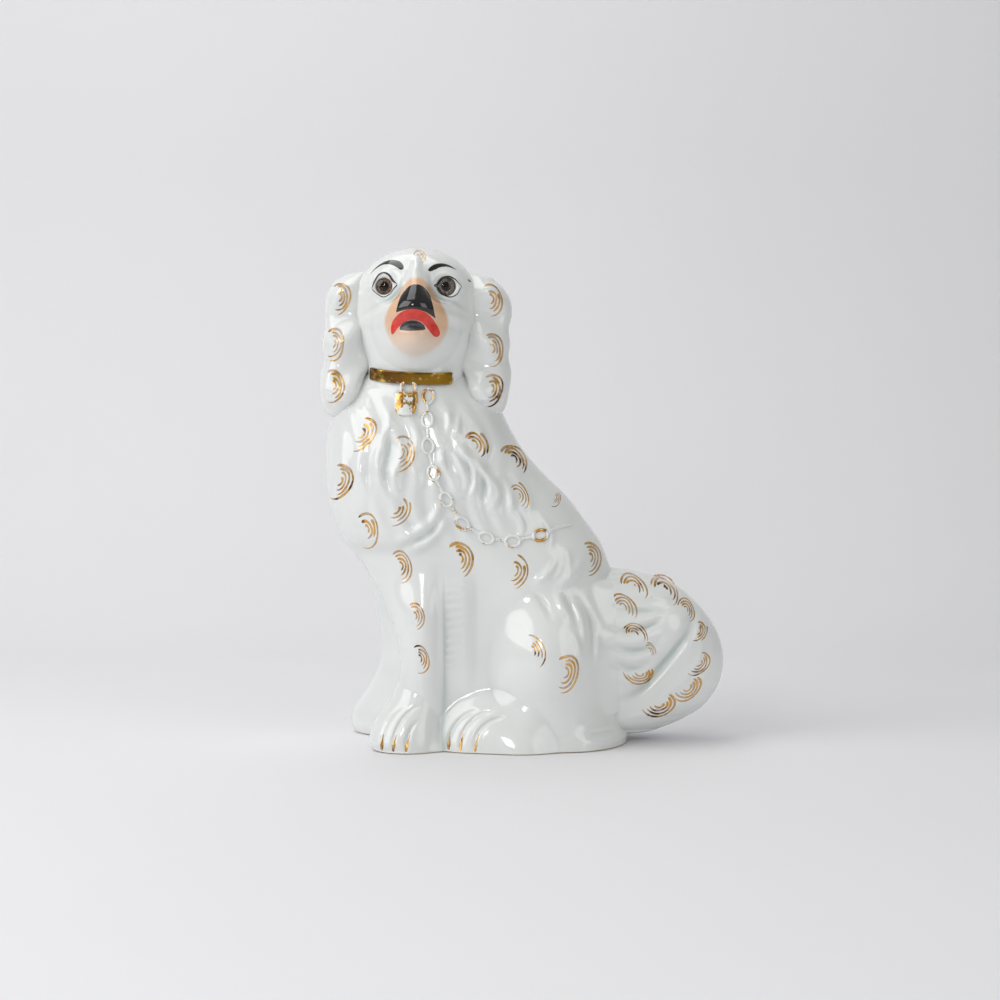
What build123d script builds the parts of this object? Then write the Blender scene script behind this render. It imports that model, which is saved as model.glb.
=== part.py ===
"""A seated earthenware spaniel, about 32 cm tall, put together from pressed clay pieces.

Frame: millimetres, +Z up. The origin lies on the table, under the middle of the foot. The dog sits in
profile with its chest towards -X and its tail towards +X, and turns its face to -Y. Left and right are the
dog's own, so its left side is the one towards -Y.
"""
from build123d import *
import math
import os
from dataclasses import dataclass

import numpy as np

# Clay
WALL = 5.0
SLAB_THICKNESS = 6.0
SLAB_MARGIN = 1.5
VENT_DIAMETER = 8.0
VENT_X = 24.0
BLEND = 16.0
SEAM_STRIP_WIDTH = 12.0
SEAM_STRIP_THICKNESS = 3.0
PARTING_Y = 0.0

# Neck and collar
NECK_X = -47.5
NECK_Y = -2.0
NECK_HALF_WIDTH = 32.5
NECK_HALF_DEPTH = 31.0
NECK_FOOT_Z = 230.0
NECK_JOINT_Z = 237.0
NECK_TOP_Z = 248.0
JAW_RISE = 6.0
COLLAR_Z = 238.0
COLLAR_HEIGHT = 7.6
COLLAR_THICKNESS = 2.2
COLLAR_TILT = 8.0
COLLAR_ROLL = 2.5

# Forelegs, from the slab up into the chest
FORELEG_WIDTH = 26.0
FORELEG_DEPTH = 27.0
FORELEG_TOP_Z = 126.0
FOREPAW_LENGTH = 43.0
FOREPAW_WIDTH = 37.0
FOREPAW_HEIGHT = 27.0
FOREPAW_FORWARD = 11.0
LEFT_FORELEG = (-44.0, -35.0)
RIGHT_FORELEG = (-60.0, 36.0)

# Hind feet, flat on the slab
HIND_FOOT_LENGTH = 98.0
HIND_FOOT_WIDTH = 32.0
HIND_FOOT_HEIGHT = 33.0
HIND_TOE_X = -34.0
LEFT_HIND_FOOT_Y = -44.0
RIGHT_HIND_FOOT_Y = 46.0

# Ears, measured from the middle of the head
EAR_TOP_Z = 303.0
EAR_LENGTH = 91.0
EAR_WIDTH = 28.0
EAR_DEPTH = 32.0
EAR_OUT = 47.0
EAR_SET_BACK = 6.0
EAR_FORWARD = 17.0
EAR_RINGLETS = 3
EAR_RINGLET_SWELL = 0.07

# Glass eyes
EYE_DIAMETER = 12.5
EYE_SPACING = 39.5
EYE_HEIGHT = 291.5
EYE_OUTWARD_TURN = 8.0
EYE_SOCKET_CLEARANCE = 0.1
EYE_RIM = 1.6
EYE_DOME = 2.6
EYE_SINK = 3.0
IRIS_THICKNESS = 0.8
PUPIL_DIAMETER = 5.0
BEDDING_THICKNESS = 5.0
BEDDING_LIP = 2.5

# Padlock
PADLOCK_X = -53.0
PADLOCK_TOP_Z = 225.0
PADLOCK_WIDTH = 15.0
PADLOCK_HEIGHT = 16.0
PADLOCK_FOOT_WIDTH = 8.0
PADLOCK_RELIEF = 2.6
SHACKLE_WIDTH = 10.5
SHACKLE_WIRE = 2.2
SHACKLE_RISE = 2.0
SHACKLE_LIFT = 2.6
SPRIG_KEY = 5.0

# Lead chain: the middles of its ring links, as (x, z) seen from the front
CHAIN_RINGS = [
    (-39.0, 222.5),
    (-39.5, 207.5),
    (-39.0, 191.0),
    (-35.5, 174.0),
    (-27.5, 157.5),
    (-17.5, 142.5),
    (-2.5, 133.5),
    (14.0, 131.5),
    (31.5, 135.0),
]
LINK_LENGTH = 11.0
LINK_WIDTH = 8.4
LINK_WIRE = 2.2
LINK_LIFT = 0.8
LINK_GAP = 0.1

# Points in each outline, and how far to either side of the dog a cutting block reaches
OUTLINE_POINTS = 24
OUTLINE_START = 0.61
PRESSING_START = 2.64
BODY_SECTIONS = 17
TAIL_SECTIONS = 13
OVAL_POINTS = 16
QUARTERS = 4
FAR = 500.0


@dataclass
class Mass:
    """One rounded mass of the dog: its middle, its half sizes and how square its upright profile is."""

    x: float
    y: float
    z: float
    half_x: float
    half_y: float
    half_z: float
    square: float = 2.0

    def reach(self, z, centre, cos, sin):
        """Distance from the centre to the far side of the ellipse that height z cuts, 0 where a ray misses."""
        share = 1 - abs((z - self.z) / self.half_z) ** self.square
        if share <= 0:
            return np.zeros_like(cos)
        girth = share ** (1 / self.square)
        a = self.half_x * girth
        b = self.half_y * girth
        dx = centre[0] - self.x
        dy = centre[1] - self.y
        steep = (cos / a) ** 2 + (sin / b) ** 2
        along = dx * cos / a**2 + dy * sin / b**2
        inside = along**2 - steep * ((dx / a) ** 2 + (dy / b) ** 2 - 1)
        hit = (np.sqrt(np.maximum(inside, 0)) - along) / steep
        return np.where(inside > 0, np.maximum(hit, 0), 0)


# The masses of the body, from the neck down to the plinth
NECK = Mass(NECK_X, NECK_Y, NECK_JOINT_Z, NECK_HALF_WIDTH, NECK_HALF_DEPTH, 60, 8)
PLINTH = Mass(4, 3, -4, 78, 48, 34, 2.5)
SLAB_AXIS = [(0, 2, 2)]

# The masses of the head
SKULL = Mass(NECK_X, 3, 281, 40, 41, 37.5)
CHEEKS = Mass(NECK_X, -3, 263, 37, 34, 26)
MUZZLE = Mass(NECK_X + 0.5, -33, 266, 21, 23, 20)
NOSE = Mass(NECK_X + 0.5, -42, 280, 13.5, 17, 14)
HEAD = [SKULL, CHEEKS, MUZZLE, NOSE]
HEAD_HOLLOW = [SKULL, CHEEKS]
HEAD_AXIS = [(0, NECK_X, NECK_Y)]

# The body on the parting plane, front and back edge as (z, x), and how deep each half is as (x, z, depth)
FRONT_EDGE = [(0, -66), (10, -68), (30, -58), (60, -50), (90, -51), (103, -57), (112, -67), (121, -83), (130, -95.5)]
FRONT_EDGE += [(140, -100.5), (150, -103.3), (167, -105.7), (185, -106.2), (203, -104.5), (215, -100), (238, -80)]
BACK_EDGE = [(0, 88), (13, 86), (28, 85), (52, 87), (80, 86), (100, 82), (112, 77.5), (130, 70), (142, 61.5), (160, 47.5)]
BACK_EDGE += [(174, 33), (190, 19.5), (205, 11), (217, 5), (228, -4), (238, -15)]
BODY_DEPTHS = [(-47, 238, 33), (-72, 227, 30), (-22, 228, 28), (-88, 195, 42), (-60, 195, 43), (-88, 162, 45)]
BODY_DEPTHS += [(-60, 162, 47), (-75, 136, 44), (-28, 195, 40), (-26, 165, 45), (0, 188, 36), (0, 160, 42)]
BODY_DEPTHS += [(-12, 132, 43), (-10, 100, 40), (-10, 70, 38), (-14, 42, 40), (-35, 100, 40), (-35, 60, 37)]
BODY_DEPTHS += [(25, 132, 42), (48, 132, 38), (25, 108, 44), (36, 66, 46), (62, 84, 41), (72, 50, 41), (78, 104, 34)]
BODY_DEPTHS += [(0, 16, 46), (40, 16, 48), (75, 12, 44), (20, 160, 38), (40, 148, 34), (-48, 16, 44)]
HAUNCH_X = 37.0
HAUNCH_Z = 57.0
HAUNCH_HALF_LENGTH = 35.0
HAUNCH_HALF_HEIGHT = 41.0
HAUNCH_RISE = 10.0

# The tail in the same way, with its curled tip on the near half
TAIL_INNER = [(3.5, 90), (5, 82), (10, 74), (25, 66), (50, 62), (80, 62), (98, 66), (105, 74), (107, 88)]
TAIL_OUTER = [(3.5, 93), (5, 101), (8, 111), (17, 131), (31, 145), (46, 150.5), (61, 150), (76, 143.8), (92, 130.5)]
TAIL_OUTER += [(101, 119), (105, 107), (107, 94)]
TAIL_NEAR = [(80, 95, 30), (100, 95, 30), (120, 85, 27), (85, 70, 37), (105, 68, 34), (128, 60, 25), (85, 45, 34)]
TAIL_NEAR += [(110, 35, 27), (140, 50, 20), (125, 25, 22), (90, 15, 27), (100, 105, 18)]
TAIL_FAR = [(90, 80, 36), (120, 60, 38), (90, 40, 37), (110, 20, 30), (140, 50, 26), (100, 100, 26)]
TAIL_PARTING_Y = 3.0


@dataclass
class Pressing:
    """A form pressed in two halves: edges on its parting plane, depths of the halves, how far a depth carries
    and how wide the front and back edges are rounded."""

    front: list
    back: list
    near: list
    far: list
    carry: float
    round_front: float
    round_back: float
    parting: float

    def depth(self, spots, x, z):
        """The depth of a half: the mean of its depths, weighted by closeness, rounded off to both edges."""
        deep = quilt(spots, x, z, self.carry)
        ahead = (x - through(self.front, z)) * slant(self.front, z) / self.round_front
        behind = (through(self.back, z) - x) * slant(self.back, z) / self.round_back
        return deep * rounded(ahead) * rounded(behind)

    def section(self, z, by=0.0, rise=None):
        """The closed curve of the form at height z, moved outwards by a distance. rise is added to the depth."""
        turns = (np.arange(OUTLINE_POINTS) + PRESSING_START) * 2 * math.pi / OUTLINE_POINTS
        front = through(self.front, z)
        back = through(self.back, z)
        xs = (front + back) / 2 - (back - front) / 2 * np.cos(turns)
        near = self.depth(self.near, xs, z)
        far = self.depth(self.far, xs, z)
        more = rise(xs, z) if rise else 0.0
        ys = self.parting + np.where(np.sin(turns) > 0, -near - more, far + more)
        run_x = np.roll(xs, -1) - np.roll(xs, 1)
        run_y = np.roll(ys, -1) - np.roll(ys, 1)
        length = np.hypot(run_x, run_y)
        xs = xs + by * run_y / length
        ys = ys - by * run_x / length
        return closed_curve([Vector(float(x), float(y), z) for x, y in zip(xs, ys)])


def through(stations, z):
    """A smooth curve through (height, value) stations: cubic pieces, level with the chord of the neighbours."""
    heights = np.array([station[0] for station in stations], float)
    values = np.array([station[1] for station in stations], float)
    slopes = np.gradient(values, heights)
    index = int(np.clip(np.searchsorted(heights, z) - 1, 0, len(heights) - 2))
    width = heights[index + 1] - heights[index]
    t = min(max((z - heights[index]) / width, 0.0), 1.0)
    hold = (2 * t**3 - 3 * t**2 + 1) * values[index] + (3 * t**2 - 2 * t**3) * values[index + 1]
    return hold + width * ((t**3 - 2 * t**2 + t) * slopes[index] + (t**3 - t**2) * slopes[index + 1])


def slant(stations, z):
    """The share of a level distance to an edge that is square to the edge."""
    return 1 / math.hypot(1, (through(stations, z + 1) - through(stations, z - 1)) / 2)


def rounded(share):
    """A quarter round: 0 at the edge and 1 where the rounding ends."""
    return np.sqrt(1 - (1 - np.clip(share, 0, 1)) ** 2)


def quilt(spots, x, z, carry):
    """A depth that runs smoothly through spots of (x, z, depth)."""
    places = np.array(spots, float)
    gaps = (x[:, None] - places[:, 0]) ** 2 + (z - places[:, 1]) ** 2
    weights = np.exp(-(gaps - gaps.min(axis=1, keepdims=True)) / (2 * carry**2))
    return (weights * places[:, 2]).sum(axis=1) / weights.sum(axis=1)


def haunch(x, z):
    """How far the thigh swells out of the body's side."""
    gap = ((x - HAUNCH_X) / HAUNCH_HALF_LENGTH) ** 2 + ((z - HAUNCH_Z) / HAUNCH_HALF_HEIGHT) ** 2
    return HAUNCH_RISE * np.clip(1 - gap, 0, 1) ** 0.8


def axis_at(axis, z):
    """The point of a form's upright axis at height z."""
    heights = [station[0] for station in axis]
    x = np.interp(z, heights, [station[1] for station in axis])
    y = np.interp(z, heights, [station[2] for station in axis])
    return float(x), float(y)


def soft_max(a, b):
    """The larger of two reaches, with a fillet where they run together."""
    near = np.clip(1 - np.abs(a - b) / BLEND, 0, 1)
    return np.maximum(a, b) + near**2 * BLEND / 4


def outline(masses, axis, z, by=0.0, section=None):
    """The closed curve of the blended masses at height z, moved outwards by a distance. section is the height
    that the curve is taken from, where that is another one."""
    level = z if section is None else section
    centre = axis_at(axis, level)
    angles = (np.arange(OUTLINE_POINTS) / OUTLINE_POINTS + OUTLINE_START) * 2 * math.pi
    cos = np.cos(angles)
    sin = np.sin(angles)
    reach = masses[0].reach(level, centre, cos, sin)
    for mass in masses[1:]:
        reach = soft_max(reach, mass.reach(level, centre, cos, sin))
    xs = centre[0] + (reach + by) * cos
    ys = centre[1] + (reach + by) * sin
    return closed_curve([Vector(float(x), float(y), z) for x, y in zip(xs, ys)])


def closed_curve(points):
    """A smooth closed curve through points, in quarters that each turn less than half a circle."""
    count = len(points)
    quarter = count // QUARTERS
    slopes = [(points[(i + 1) % count] - points[i - 1]).normalized() for i in range(0, count, quarter)]
    edges = []
    for index in range(QUARTERS):
        stretch = [points[(index * quarter + i) % count] for i in range(quarter + 1)]
        tangents = (slopes[index], slopes[(index + 1) % QUARTERS])
        edges.append(Edge.make_spline(stretch, tangents=tangents))
    return Wire(edges)


def oval(plane, half_x, half_y):
    """A closed ellipse on a plane, which starts on the plane's own x whichever way it is longer."""
    angles = np.arange(OVAL_POINTS) * 2 * math.pi / OVAL_POINTS
    points = [plane.from_local_coords((half_x * math.cos(a), half_y * math.sin(a), 0)) for a in angles]
    return closed_curve(points)


def crowded(low, high, count, at_low=False):
    """Heights from low to high that crowd together at the top, or at both ends, where a form closes."""
    turns = np.linspace(0 if at_low else math.pi / 2, math.pi, count)
    shares = -np.cos(turns)
    shares = (shares - shares[0]) / (shares[-1] - shares[0])
    return [low + (high - low) * float(share) for share in shares]


def neck_drum(low, high, by):
    """The straight neck between two heights, with its skin moved outwards by a distance."""
    return extrude(Face(outline([NECK], HEAD_AXIS, low, by, NECK_JOINT_Z)), high - low, dir=(0, 0, 1))


def front_plane(form, x, z):
    """A plane on the side of a form that looks towards -Y, its own z outwards and its own x level."""
    hits = form.find_intersection_points(Axis((x, -FAR, z), (0, 1, 0)))
    seat, outward = min(hits, key=lambda hit: hit[0].Y)
    if outward.Y > 0:
        outward = -outward
    return Plane(seat, x_dir=Vector(0, 0, 1).cross(outward), z_dir=outward)


def beside(solid, side):
    """The part of a solid on one side of the parting plane: -1 is towards the viewer, 1 away."""
    return solid & Pos(0, PARTING_Y + side * FAR, 0) * Box(2 * FAR, 2 * FAR, 2 * FAR)


def above_slab(solid):
    """The part of a solid that stands on the slab."""
    return solid & Pos(0, 0, SLAB_THICKNESS + FAR) * Box(2 * FAR, 2 * FAR, 2 * FAR)


def largest(shape):
    """The largest solid of a trimmed shape, without the slivers that a trim can leave."""
    return max(shape.solids(), key=lambda solid: solid.volume)


def body_form(by):
    """The body with its skin moved by a distance, from the slab up to the joint in the neck."""
    heights = np.linspace(SLAB_THICKNESS, NECK_FOOT_Z - 8, BODY_SECTIONS)
    wires = [BODY.section(float(z), by, haunch) for z in heights]
    wires.append(outline([NECK], HEAD_AXIS, NECK_FOOT_Z, by, NECK_JOINT_Z))
    return Solid.make_loft(wires) + neck_drum(NECK_FOOT_Z, NECK_JOINT_Z, by)


def head_form(masses, by):
    """Masses of the head with their skin moved by a distance, from the joint in the neck up to the crown."""
    crown = SKULL.z + SKULL.half_z - 0.3 + min(by, 0)
    wires = [outline([NECK], HEAD_AXIS, NECK_TOP_Z, by, NECK_JOINT_Z)]
    wires += [outline(masses, HEAD_AXIS, z, by) for z in crowded(NECK_TOP_Z + JAW_RISE, crown, 11)]
    return neck_drum(NECK_JOINT_Z, NECK_TOP_Z, by) + Solid.make_loft(wires)


def tail_form(by):
    """The curled tail with its skin moved by a distance."""
    low = TAIL_OUTER[0][0] - by
    high = TAIL_OUTER[-1][0] + by
    return Solid.make_loft([TAIL.section(z, by) for z in crowded(low, high, TAIL_SECTIONS, at_low=True)])


def foreleg_form(place):
    """A foreleg: an oval shank that stands in a rounded paw, which reaches forwards and is flat below."""
    x, y = place
    height = FORELEG_TOP_Z - SLAB_THICKNESS
    shank = extrude(Ellipse(FORELEG_WIDTH / 2, FORELEG_DEPTH / 2), height)
    paw = scale(Sphere(1), by=(FOREPAW_LENGTH / 2, FOREPAW_WIDTH / 2, FOREPAW_HEIGHT))
    leg = Pos(x, y, SLAB_THICKNESS) * shank + Pos(x - FOREPAW_FORWARD, y, SLAB_THICKNESS) * paw
    return above_slab(leg)


def hind_foot_form(y):
    """A hind foot: upright ovals from the toes back to the heel, cut flat on the slab."""
    profile = [(0.0, 0.35), (0.06, 0.72), (0.32, 1.0), (0.6, 0.87), (0.85, 0.76), (0.95, 0.6), (1.0, 0.35)]
    wires = []
    for along, full in profile:
        middle = (HIND_TOE_X + HIND_FOOT_LENGTH * along, y, SLAB_THICKNESS)
        section = Plane(middle, x_dir=(0, 1, 0), z_dir=(1, 0, 0))
        wires.append(oval(section, HIND_FOOT_WIDTH / 2 * full, HIND_FOOT_HEIGHT * full))
    return above_slab(Solid.make_loft(wires))


def slab_form():
    """The foot slab: the outline of what stands on it, with a margin."""
    standing = [PLINTH]
    for x, y in (LEFT_FORELEG, RIGHT_FORELEG):
        standing.append(Mass(x - FOREPAW_FORWARD, y, 0, FOREPAW_LENGTH / 2, FOREPAW_WIDTH / 2, SLAB_THICKNESS))
    for y in (LEFT_HIND_FOOT_Y, RIGHT_HIND_FOOT_Y):
        half = HIND_FOOT_LENGTH / 2
        standing.append(Mass(HIND_TOE_X + half, y, 0, half, HIND_FOOT_WIDTH / 2, SLAB_THICKNESS))
    return extrude(Face(outline(standing, SLAB_AXIS, 0, SLAB_MARGIN)), SLAB_THICKNESS, dir=(0, 0, 1))


def ear_form(side):
    """A hanging ear: ellipses down its length, swollen by its ringlets. side is -1 on the dog's right."""
    wires = []
    for drop in crowded(0.0, 1.0, 15, at_low=True):
        fullness = max(1 - abs(2 * drop - 1) ** 3.2, 0.0) ** 0.45
        swell = 1 - EAR_RINGLET_SWELL * math.cos(2 * math.pi * EAR_RINGLETS * drop)
        lean = math.sin(math.pi * min(drop * 1.6, 1.0) / 2)
        half_width = max(EAR_WIDTH / 2 * fullness * swell, EAR_WIDTH / 9)
        half_depth = max(EAR_DEPTH / 2 * fullness * swell, EAR_DEPTH / 9)
        x = NECK_X + side * (EAR_OUT - (1 - lean) * EAR_WIDTH / 3)
        y = NECK_Y + EAR_SET_BACK - EAR_FORWARD * drop
        wires.append(oval(Plane((x, y, EAR_TOP_Z - EAR_LENGTH * drop)), half_width, half_depth))
    return Solid.make_loft(wires)


def eye_plane(side):
    """The plane of an eye on the face, its own z looking out. side is -1 on the dog's right."""
    seat = front_plane(head_core, NECK_X + side * EYE_SPACING / 2, EYE_HEIGHT).origin
    turn = math.radians(EYE_OUTWARD_TURN) * side
    return Plane(seat, x_dir=(math.cos(turn), math.sin(turn), 0), z_dir=(math.sin(turn), -math.cos(turn), 0))


def disc(radius, low, high):
    """An upright round disc between two heights."""
    return Pos(0, 0, low) * Cylinder(radius, high - low, align=(Align.CENTER, Align.CENTER, Align.MIN))


def eye_glass():
    """A clear glass cabochon: a short rim under a dome."""
    rim_radius = EYE_DIAMETER / 2
    ball = (rim_radius**2 + EYE_DOME**2) / (2 * EYE_DOME)
    rim_top = EYE_RIM - EYE_SINK
    dome = Pos(0, 0, rim_top + EYE_DOME - ball) * Sphere(ball) & disc(rim_radius, rim_top, rim_top + EYE_DOME)
    return disc(rim_radius, -EYE_SINK, rim_top) + dome


def padlock_plane():
    """The plane of the padlock on the breast, in its middle."""
    return front_plane(body_core, PADLOCK_X, PADLOCK_TOP_Z - PADLOCK_HEIGHT / 2)


def padlock_case():
    """The padlock's shield-shaped case, keyed into the breast behind it."""
    half = PADLOCK_WIDTH / 2
    top = PADLOCK_HEIGHT / 2
    waist = -PADLOCK_HEIGHT / 8
    tip = PADLOCK_FOOT_WIDTH / 2
    rim = Polyline((half, waist), (half, top), (-half, top), (-half, waist))
    left = ThreePointArc((-half, waist), (-half * 0.93, -top * 0.65), (-tip, -top))
    right = ThreePointArc((half, waist), (half * 0.93, -top * 0.65), (tip, -top))
    foot = Line((-tip, -top), (tip, -top))
    shield = make_face(rim + left + right + foot)
    return padlock_plane() * Pos(0, 0, -SPRIG_KEY) * extrude(shield, SPRIG_KEY + PADLOCK_RELIEF)


def padlock_shackle():
    """The ring that stands above the case and hangs it from the collar."""
    ring = Torus((SHACKLE_WIDTH - SHACKLE_WIRE) / 2, SHACKLE_WIRE / 2)
    return front_plane(body_core, PADLOCK_X, PADLOCK_TOP_Z + SHACKLE_RISE) * Pos(0, 0, SHACKLE_LIFT) * ring


def chain_links(seat):
    """Ring links laid flat along the route and the links between them seen edge on, trimmed to their seat."""
    planes = [front_plane(seat, x, z) for x, z in CHAIN_RINGS]
    middles = [plane.origin + plane.z_dir * LINK_LIFT for plane in planes]
    wire = LINK_WIRE / 2
    path = Ellipse(LINK_LENGTH / 2 - wire, LINK_WIDTH / 2 - wire).edge()
    ring = sweep(Plane(path @ 0, z_dir=path % 0) * Circle(wire), path)
    rings = []
    for index, (plane, middle) in enumerate(zip(planes, middles)):
        before = middles[max(index - 1, 0)]
        after = middles[min(index + 1, len(middles) - 1)]
        rings.append(Plane(middle, x_dir=after - before, z_dir=plane.z_dir) * ring - seat)
    bars = []
    for start, end in zip(middles[:-1], middles[1:]):
        run = end - start
        inset = LINK_LENGTH / 2 + LINK_GAP
        bar = Plane(start + run.normalized() * inset, z_dir=run) * disc(wire, 0, run.length - 2 * inset)
        bars.append(largest(bar - seat))
    return rings + bars


# The carrying forms, solid right through
BODY = Pressing(FRONT_EDGE, BACK_EDGE, BODY_DEPTHS, BODY_DEPTHS, 17.0, 40.0, 40.0, PARTING_Y)
TAIL = Pressing(TAIL_INNER, TAIL_OUTER, TAIL_NEAR, TAIL_FAR, 13.0, 14.0, 26.0, TAIL_PARTING_Y)
body_core = body_form(0)
head_core = head_form(HEAD, 0)

# The slab that closes the foot, with the vent for the kiln
base_slab = slab_form() - Pos(VENT_X, 0, SLAB_THICKNESS / 2) * Cylinder(VENT_DIAMETER / 2, SLAB_THICKNESS)

# The hollow body and head, each pressed in two halves that meet at the parting plane
body_hollow = body_form(-WALL)
head_hollow = head_form(HEAD_HOLLOW, -WALL)
body_shell = body_core - body_hollow
head_shell = head_core - head_hollow
body_left_half = beside(body_shell, -1)
body_right_half = beside(body_shell, 1)
head_front_half = beside(head_shell, -1)
head_back_half = beside(head_shell, 1)

# Strips of clay pressed over the seams from inside
seam_slot = Pos(0, PARTING_Y, 0) * Box(1000, SEAM_STRIP_WIDTH, 1000)
body_seam_strips = (body_hollow - body_form(-WALL - SEAM_STRIP_THICKNESS)) & seam_slot
head_seam_strip = (head_hollow - head_form(HEAD_HOLLOW, -WALL - SEAM_STRIP_THICKNESS)) & seam_slot

# Limbs, tail and ears, each trimmed to what it is stuck on
left_foreleg = foreleg_form(LEFT_FORELEG) - body_core
right_foreleg = foreleg_form(RIGHT_FORELEG) - body_core
left_hind_foot = hind_foot_form(LEFT_HIND_FOOT_Y) - body_core - left_foreleg
right_hind_foot = hind_foot_form(RIGHT_HIND_FOOT_Y) - body_core - right_foreleg
tail = tail_form(0) - body_core - tail_form(-WALL)
left_ear = ear_form(1) - head_core - body_core
right_ear = ear_form(-1) - head_core - body_core

# Collar, padlock and chain
band = Ellipse(NECK_HALF_WIDTH + COLLAR_THICKNESS, NECK_HALF_DEPTH + COLLAR_THICKNESS)
collar = extrude(band, COLLAR_HEIGHT / 2, both=True)
collar = Pos(NECK_X, NECK_Y, COLLAR_Z) * Rot(COLLAR_TILT, COLLAR_ROLL, 0) * collar
collar = collar - body_core - head_core - left_ear - right_ear
padlock = padlock_case() - body_core
padlock_ring = padlock_shackle() - body_core - padlock - collar
lead_chain = Compound([solid for link in chain_links(body_core) for solid in link.solids()])

# Glass eyes, sunk in sockets and held from behind by plaster
eyes = {}
for name, side in (("left", 1), ("right", -1)):
    plane = eye_plane(side)
    back = -EYE_SINK - IRIS_THICKNESS
    socket = disc(EYE_DIAMETER / 2 + EYE_SOCKET_CLEARANCE, back - WALL * 3, EYE_DOME * 2)
    head_front_half -= plane * socket
    bed = plane * disc(EYE_DIAMETER / 2 + BEDDING_LIP, back - BEDDING_THICKNESS, back)
    iris = disc(EYE_DIAMETER / 2, back, -EYE_SINK) - disc(PUPIL_DIAMETER / 2, back, -EYE_SINK)
    eyes[f"{name}_eye_glass"] = plane * eye_glass()
    eyes[f"{name}_eye_iris"] = plane * iris
    eyes[f"{name}_eye_pupil"] = plane * disc(PUPIL_DIAMETER / 2, back, -EYE_SINK)
    eyes[f"{name}_eye_bedding"] = bed
for name in ("left_eye_bedding", "right_eye_bedding"):
    eyes[name] = largest(eyes[name] - head_front_half)

nodes = {
    "base_slab": base_slab,
    "body_left_half": body_left_half,
    "body_right_half": body_right_half,
    "body_seam_strips": body_seam_strips,
    "head_front_half": head_front_half,
    "head_back_half": head_back_half,
    "head_seam_strip": head_seam_strip,
    "left_foreleg": left_foreleg,
    "right_foreleg": right_foreleg,
    "left_hind_foot": left_hind_foot,
    "right_hind_foot": right_hind_foot,
    "tail": tail,
    "left_ear": left_ear,
    "right_ear": right_ear,
    "collar": collar,
    "padlock": padlock,
    "padlock_ring": padlock_ring,
    "lead_chain": lead_chain,
    **eyes,
}
os.makedirs("parts", exist_ok=True)
for name, shape in nodes.items():
    export_step(Compound(shape.solids()), f"parts/{name}.step")
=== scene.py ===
import math

import bpy
import numpy as np
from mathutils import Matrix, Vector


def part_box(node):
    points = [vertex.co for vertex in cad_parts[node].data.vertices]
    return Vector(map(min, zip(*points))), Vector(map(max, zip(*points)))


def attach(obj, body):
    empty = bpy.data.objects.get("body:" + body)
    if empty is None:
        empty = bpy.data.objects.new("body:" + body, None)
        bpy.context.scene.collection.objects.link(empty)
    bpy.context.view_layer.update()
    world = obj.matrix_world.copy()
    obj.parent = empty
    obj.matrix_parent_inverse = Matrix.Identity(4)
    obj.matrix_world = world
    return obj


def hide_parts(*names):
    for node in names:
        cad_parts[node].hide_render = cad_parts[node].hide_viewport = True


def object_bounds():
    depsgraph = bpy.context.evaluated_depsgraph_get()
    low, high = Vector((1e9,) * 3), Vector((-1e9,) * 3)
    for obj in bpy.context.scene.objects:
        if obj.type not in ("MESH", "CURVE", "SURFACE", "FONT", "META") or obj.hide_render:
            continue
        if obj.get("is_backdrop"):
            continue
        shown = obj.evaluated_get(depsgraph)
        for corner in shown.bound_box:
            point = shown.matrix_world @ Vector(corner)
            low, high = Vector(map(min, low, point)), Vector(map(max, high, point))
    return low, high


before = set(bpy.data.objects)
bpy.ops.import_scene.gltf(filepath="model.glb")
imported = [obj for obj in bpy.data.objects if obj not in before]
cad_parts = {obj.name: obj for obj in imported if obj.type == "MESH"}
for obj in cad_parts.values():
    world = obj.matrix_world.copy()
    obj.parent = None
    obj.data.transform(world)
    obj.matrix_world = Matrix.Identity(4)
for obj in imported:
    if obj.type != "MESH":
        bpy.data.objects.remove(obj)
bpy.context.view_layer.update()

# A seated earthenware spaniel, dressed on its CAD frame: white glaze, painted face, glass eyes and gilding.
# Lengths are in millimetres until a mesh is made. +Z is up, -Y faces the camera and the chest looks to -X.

# Camera: a long lens about two thirds up the figure, tipped down slightly, as in the photo.
SENSOR_WIDTH = 36
LENS = 74.4
CAMERA_PLACE = (0.006, -1.335, 0.206)
CAMERA_DIP = 2.16
scene = bpy.context.scene
camera = bpy.data.objects.new("camera", bpy.data.cameras.new("camera"))
camera.data.sensor_width = SENSOR_WIDTH
camera.data.lens = LENS
camera.location = CAMERA_PLACE
camera.rotation_euler = (math.radians(90 - CAMERA_DIP), 0, 0)
scene.collection.objects.link(camera)
scene.camera = camera
scene.view_settings.view_transform = "Standard"

# Glaze: the coat that the fired clay is dipped in, thick, white and glossy, blue-green where it pools.
# It comes out of the kiln with a soft ripple and a few dark specks.
GLAZE_WHITE = "#E6E8E7"
POOL_TINT = "#BFCBC8"
SPECK_BROWN = "#4A4038"


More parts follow.
